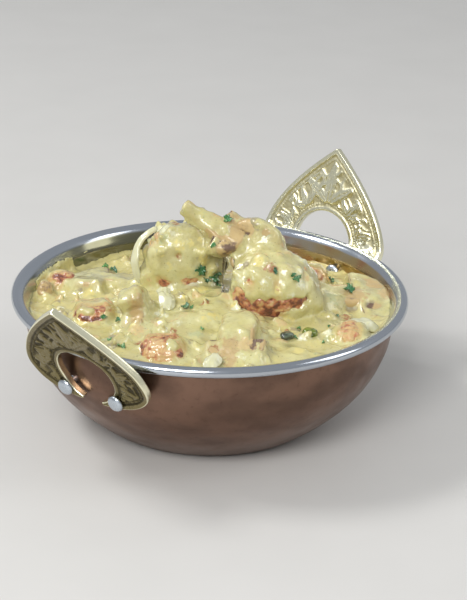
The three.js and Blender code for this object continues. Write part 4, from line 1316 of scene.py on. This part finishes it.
# each leaf's place, and its size, which the scale makes the way across in mm
LEAVES = (
    (-1.1, 6.1, 61.2, 3.4), (0.6, 4.8, 59.8, 2.2), (3.4, 4.4, 54.8, 2.6), (4.8, 3.5, 56.8, 3.2),
    (6.6, 2.6, 57.4, 2.2), (-2.6, -3.0, 73.9, 1.8), (2.0, 4.0, 68.0, 2.2), (4.4, -4.5, 85.0, 2.6),
    (2.5, -30.6, 68.1, 2.2), (7.3, -36.7, 65.0, 2.6), (6.3, -34.9, 66.8, 1.8), (40.4, -40.3, 51.0, 3.6),
    (58.6, -18.2, 44.0, 2.4), (-21.0, -4.1, 52.9, 2.4), (-19.5, -6.0, 53.2, 1.6),
    (9.5, 59.9, 44.3, 3.2), (9.1, 64.2, 44.2, 2.2), (-45.1, 17.2, 50.6, 2.0), (-43.6, 11.3, 50.4, 2.4),
    (-59.9, -4.5, 48.7, 2.2), (-37.0, -60.5, 49.0, 2.2), (6.7, 1.8, 52.6, 1.8),
    (-11.0, -47.0, 49.6, 2.6), (-9.0, -49.5, 49.0, 1.8), (0.6, -44.8, 49.6, 1.6),
    (-58.0, 2.7, 48.7, 1.4), (25, 20, 48, 1.8), (32, 5, 47, 1.5), (10, -52, 49, 1.2),
    (-30, 30, 49, 1.3), (-30, -20, 52, 1.3), (-15, -30, 53, 1.1), (20, -50, 50, 1.3),
    (-48, -15, 51, 1.0), (30, -25, 50, 1.2), (-5, -60, 49, 1.2), (-25, 20, 50, 1.2), (0, 45, 46, 1.3),
    (-12, -8, 54, 0.9), (-33, 50, 46, 1.0), (50, -35, 49, 1.0),
)


def on_sauce(places):
    """The sauce's nearest points to these places, and the way out of the sauce at each: up the
    slope of its field."""
    slope = [np.gradient(body[spans], STEP) for spans in (near(p, 3.0)[0] for p in places)]
    out = np.array([[np.mean(part) for part in parts] for parts in slope])
    out /= np.linalg.norm(out, axis=1, keepdims=True)
    apart = [np.linalg.norm(sauce_points - place, axis=1).argmin() for place in places]
    return sauce_points[apart], out


def leaf_blades(places, sizes, seed, rings=6, around=40, thickness=0.22):
    """Lobed discs, narrower one way: at angle a the edge is at size / 2 (0.8 + 0.12 cos (na + p)
    + 0.08 cos (9a + q)), and at share s of it the blade is curled out by size times
    0.2 s² cos (2a + r) + 0.08 s sin 9a. A top and a bottom sheet meet at the edge."""
    chance = np.random.default_rng(seed)
    spot, out = on_sauce(places)
    share = np.concatenate([np.linspace(0, 1, rings), np.linspace(1, 0, rings)[1:]])[:, None]
    level = np.concatenate([np.ones(rings - 1), [0], -np.ones(rings - 1)])[:, None] * thickness / 2
    turn = np.linspace(0, 2 * np.pi, around, endpoint=False)
    points, faces, shades = [], [], []
    for place, way, size in zip(spot, out, sizes):
        phase, lobes = chance.uniform(0, 6, 3), chance.integers(3, 6)
        lobed = 0.12 * np.cos(lobes * turn + phase[0]) + 0.08 * np.cos(9 * turn + phase[1])
        edge = size / 2 * (0.8 + lobed)
        stretch = chance.uniform(0.45, 0.9)
        flat = share * edge
        curl = 0.2 * share**2 * np.cos(2 * turn + phase[2]) + 0.08 * share * np.sin(9 * turn)
        side = np.cross(way, chance.normal(size=3))
        side /= np.linalg.norm(side)
        lift = size * curl + level + 0.25 + 0.08 * size
        local = np.stack([flat * np.cos(turn), flat * np.sin(turn) * stretch, lift], axis=-1)
        blade = local @ np.array([side, np.cross(way, side), way]) + place
        skin, parts = closed_rows(blade[1:-1], [blade[0].mean(axis=0), blade[-1].mean(axis=0)])
        faces += [group + sum(len(p) for p in points) for group in outwards(skin, parts)]
        points.append(skin)
        shades.append(np.full(len(skin), chance.uniform(0, 1)))
    return np.concatenate(points), faces, np.concatenate(shades)


coriander, coriander_tree, coriander_shader = finish_of(
    "coriander_leaf", (50, 100, 52), 0.3, Coat_Weight=1.0, Coat_Roughness=0.07)
paint(coriander_shader, "Base Color", layered(
    blended(attribute(coriander_tree, "shade"), (24, 92, 58), (70, 138, 62)),
    (noise(coriander_tree, 1.6, 3.0), 0.5, 0.75, 0.7, (178, 192, 132))))
roughened(coriander_shader, noise(coriander_tree, 0.5, 2.0), 0.08)
leaf_places = np.array(LEAVES)
leaf_sizes = leaf_places[:, 3] * LEAF_SCALE
leaf_points, leaf_faces, leaf_shades = leaf_blades(leaf_places[:, :3], leaf_sizes, 601)
piece("coriander_leaves", leaf_points, leaf_faces, coriander, "sauce", (), {"shade": leaf_shades})

# ---------------------------------------------------------------------------------------
# The two loose bits
# ---------------------------------------------------------------------------------------
# A round olive green bit of chilli and a dark bit of wilted leaf lie loose in the sauce at the
# front right, glossy with oil.

BITS = {
    "chilli_bit": {
        "size": (6.8, 6.8, 4.6), "seed": 1.1, "at": (-1.7, -51.3, 49.0), "turn": (20, 0, 0), "spots": (),
        "colours": ((112, 128, 28), (74, 90, 14)),
    },
    "dark_leaf_bit": {
        "size": (5.6, 3.6, 3.4), "seed": 2.1, "at": (-11.0, -47.0, 50.0), "turn": (60, 0, 0), "spots": (),
        "colours": ((92, 104, 84), (44, 52, 40)),
    },
}
for number, (name, bit) in enumerate(BITS.items()):
    bit_points, bit_faces, _ = chunk_skin(bit, 620 + 10 * number, 44, 64, 0.5)
    bit_finish, bit_tree, bit_shader = finish_of(
        name, bit["colours"][0], 0.22, Coat_Weight=1.0, Coat_Roughness=0.06)
    bit_tone = ranged(noise(bit_tree, 1.4, 3.0), 0.4, 0.62)
    paint(bit_shader, "Base Color", blended(bit_tone, *bit["colours"]))
    piece(name, bit_points, bit_faces, bit_finish, "sauce")
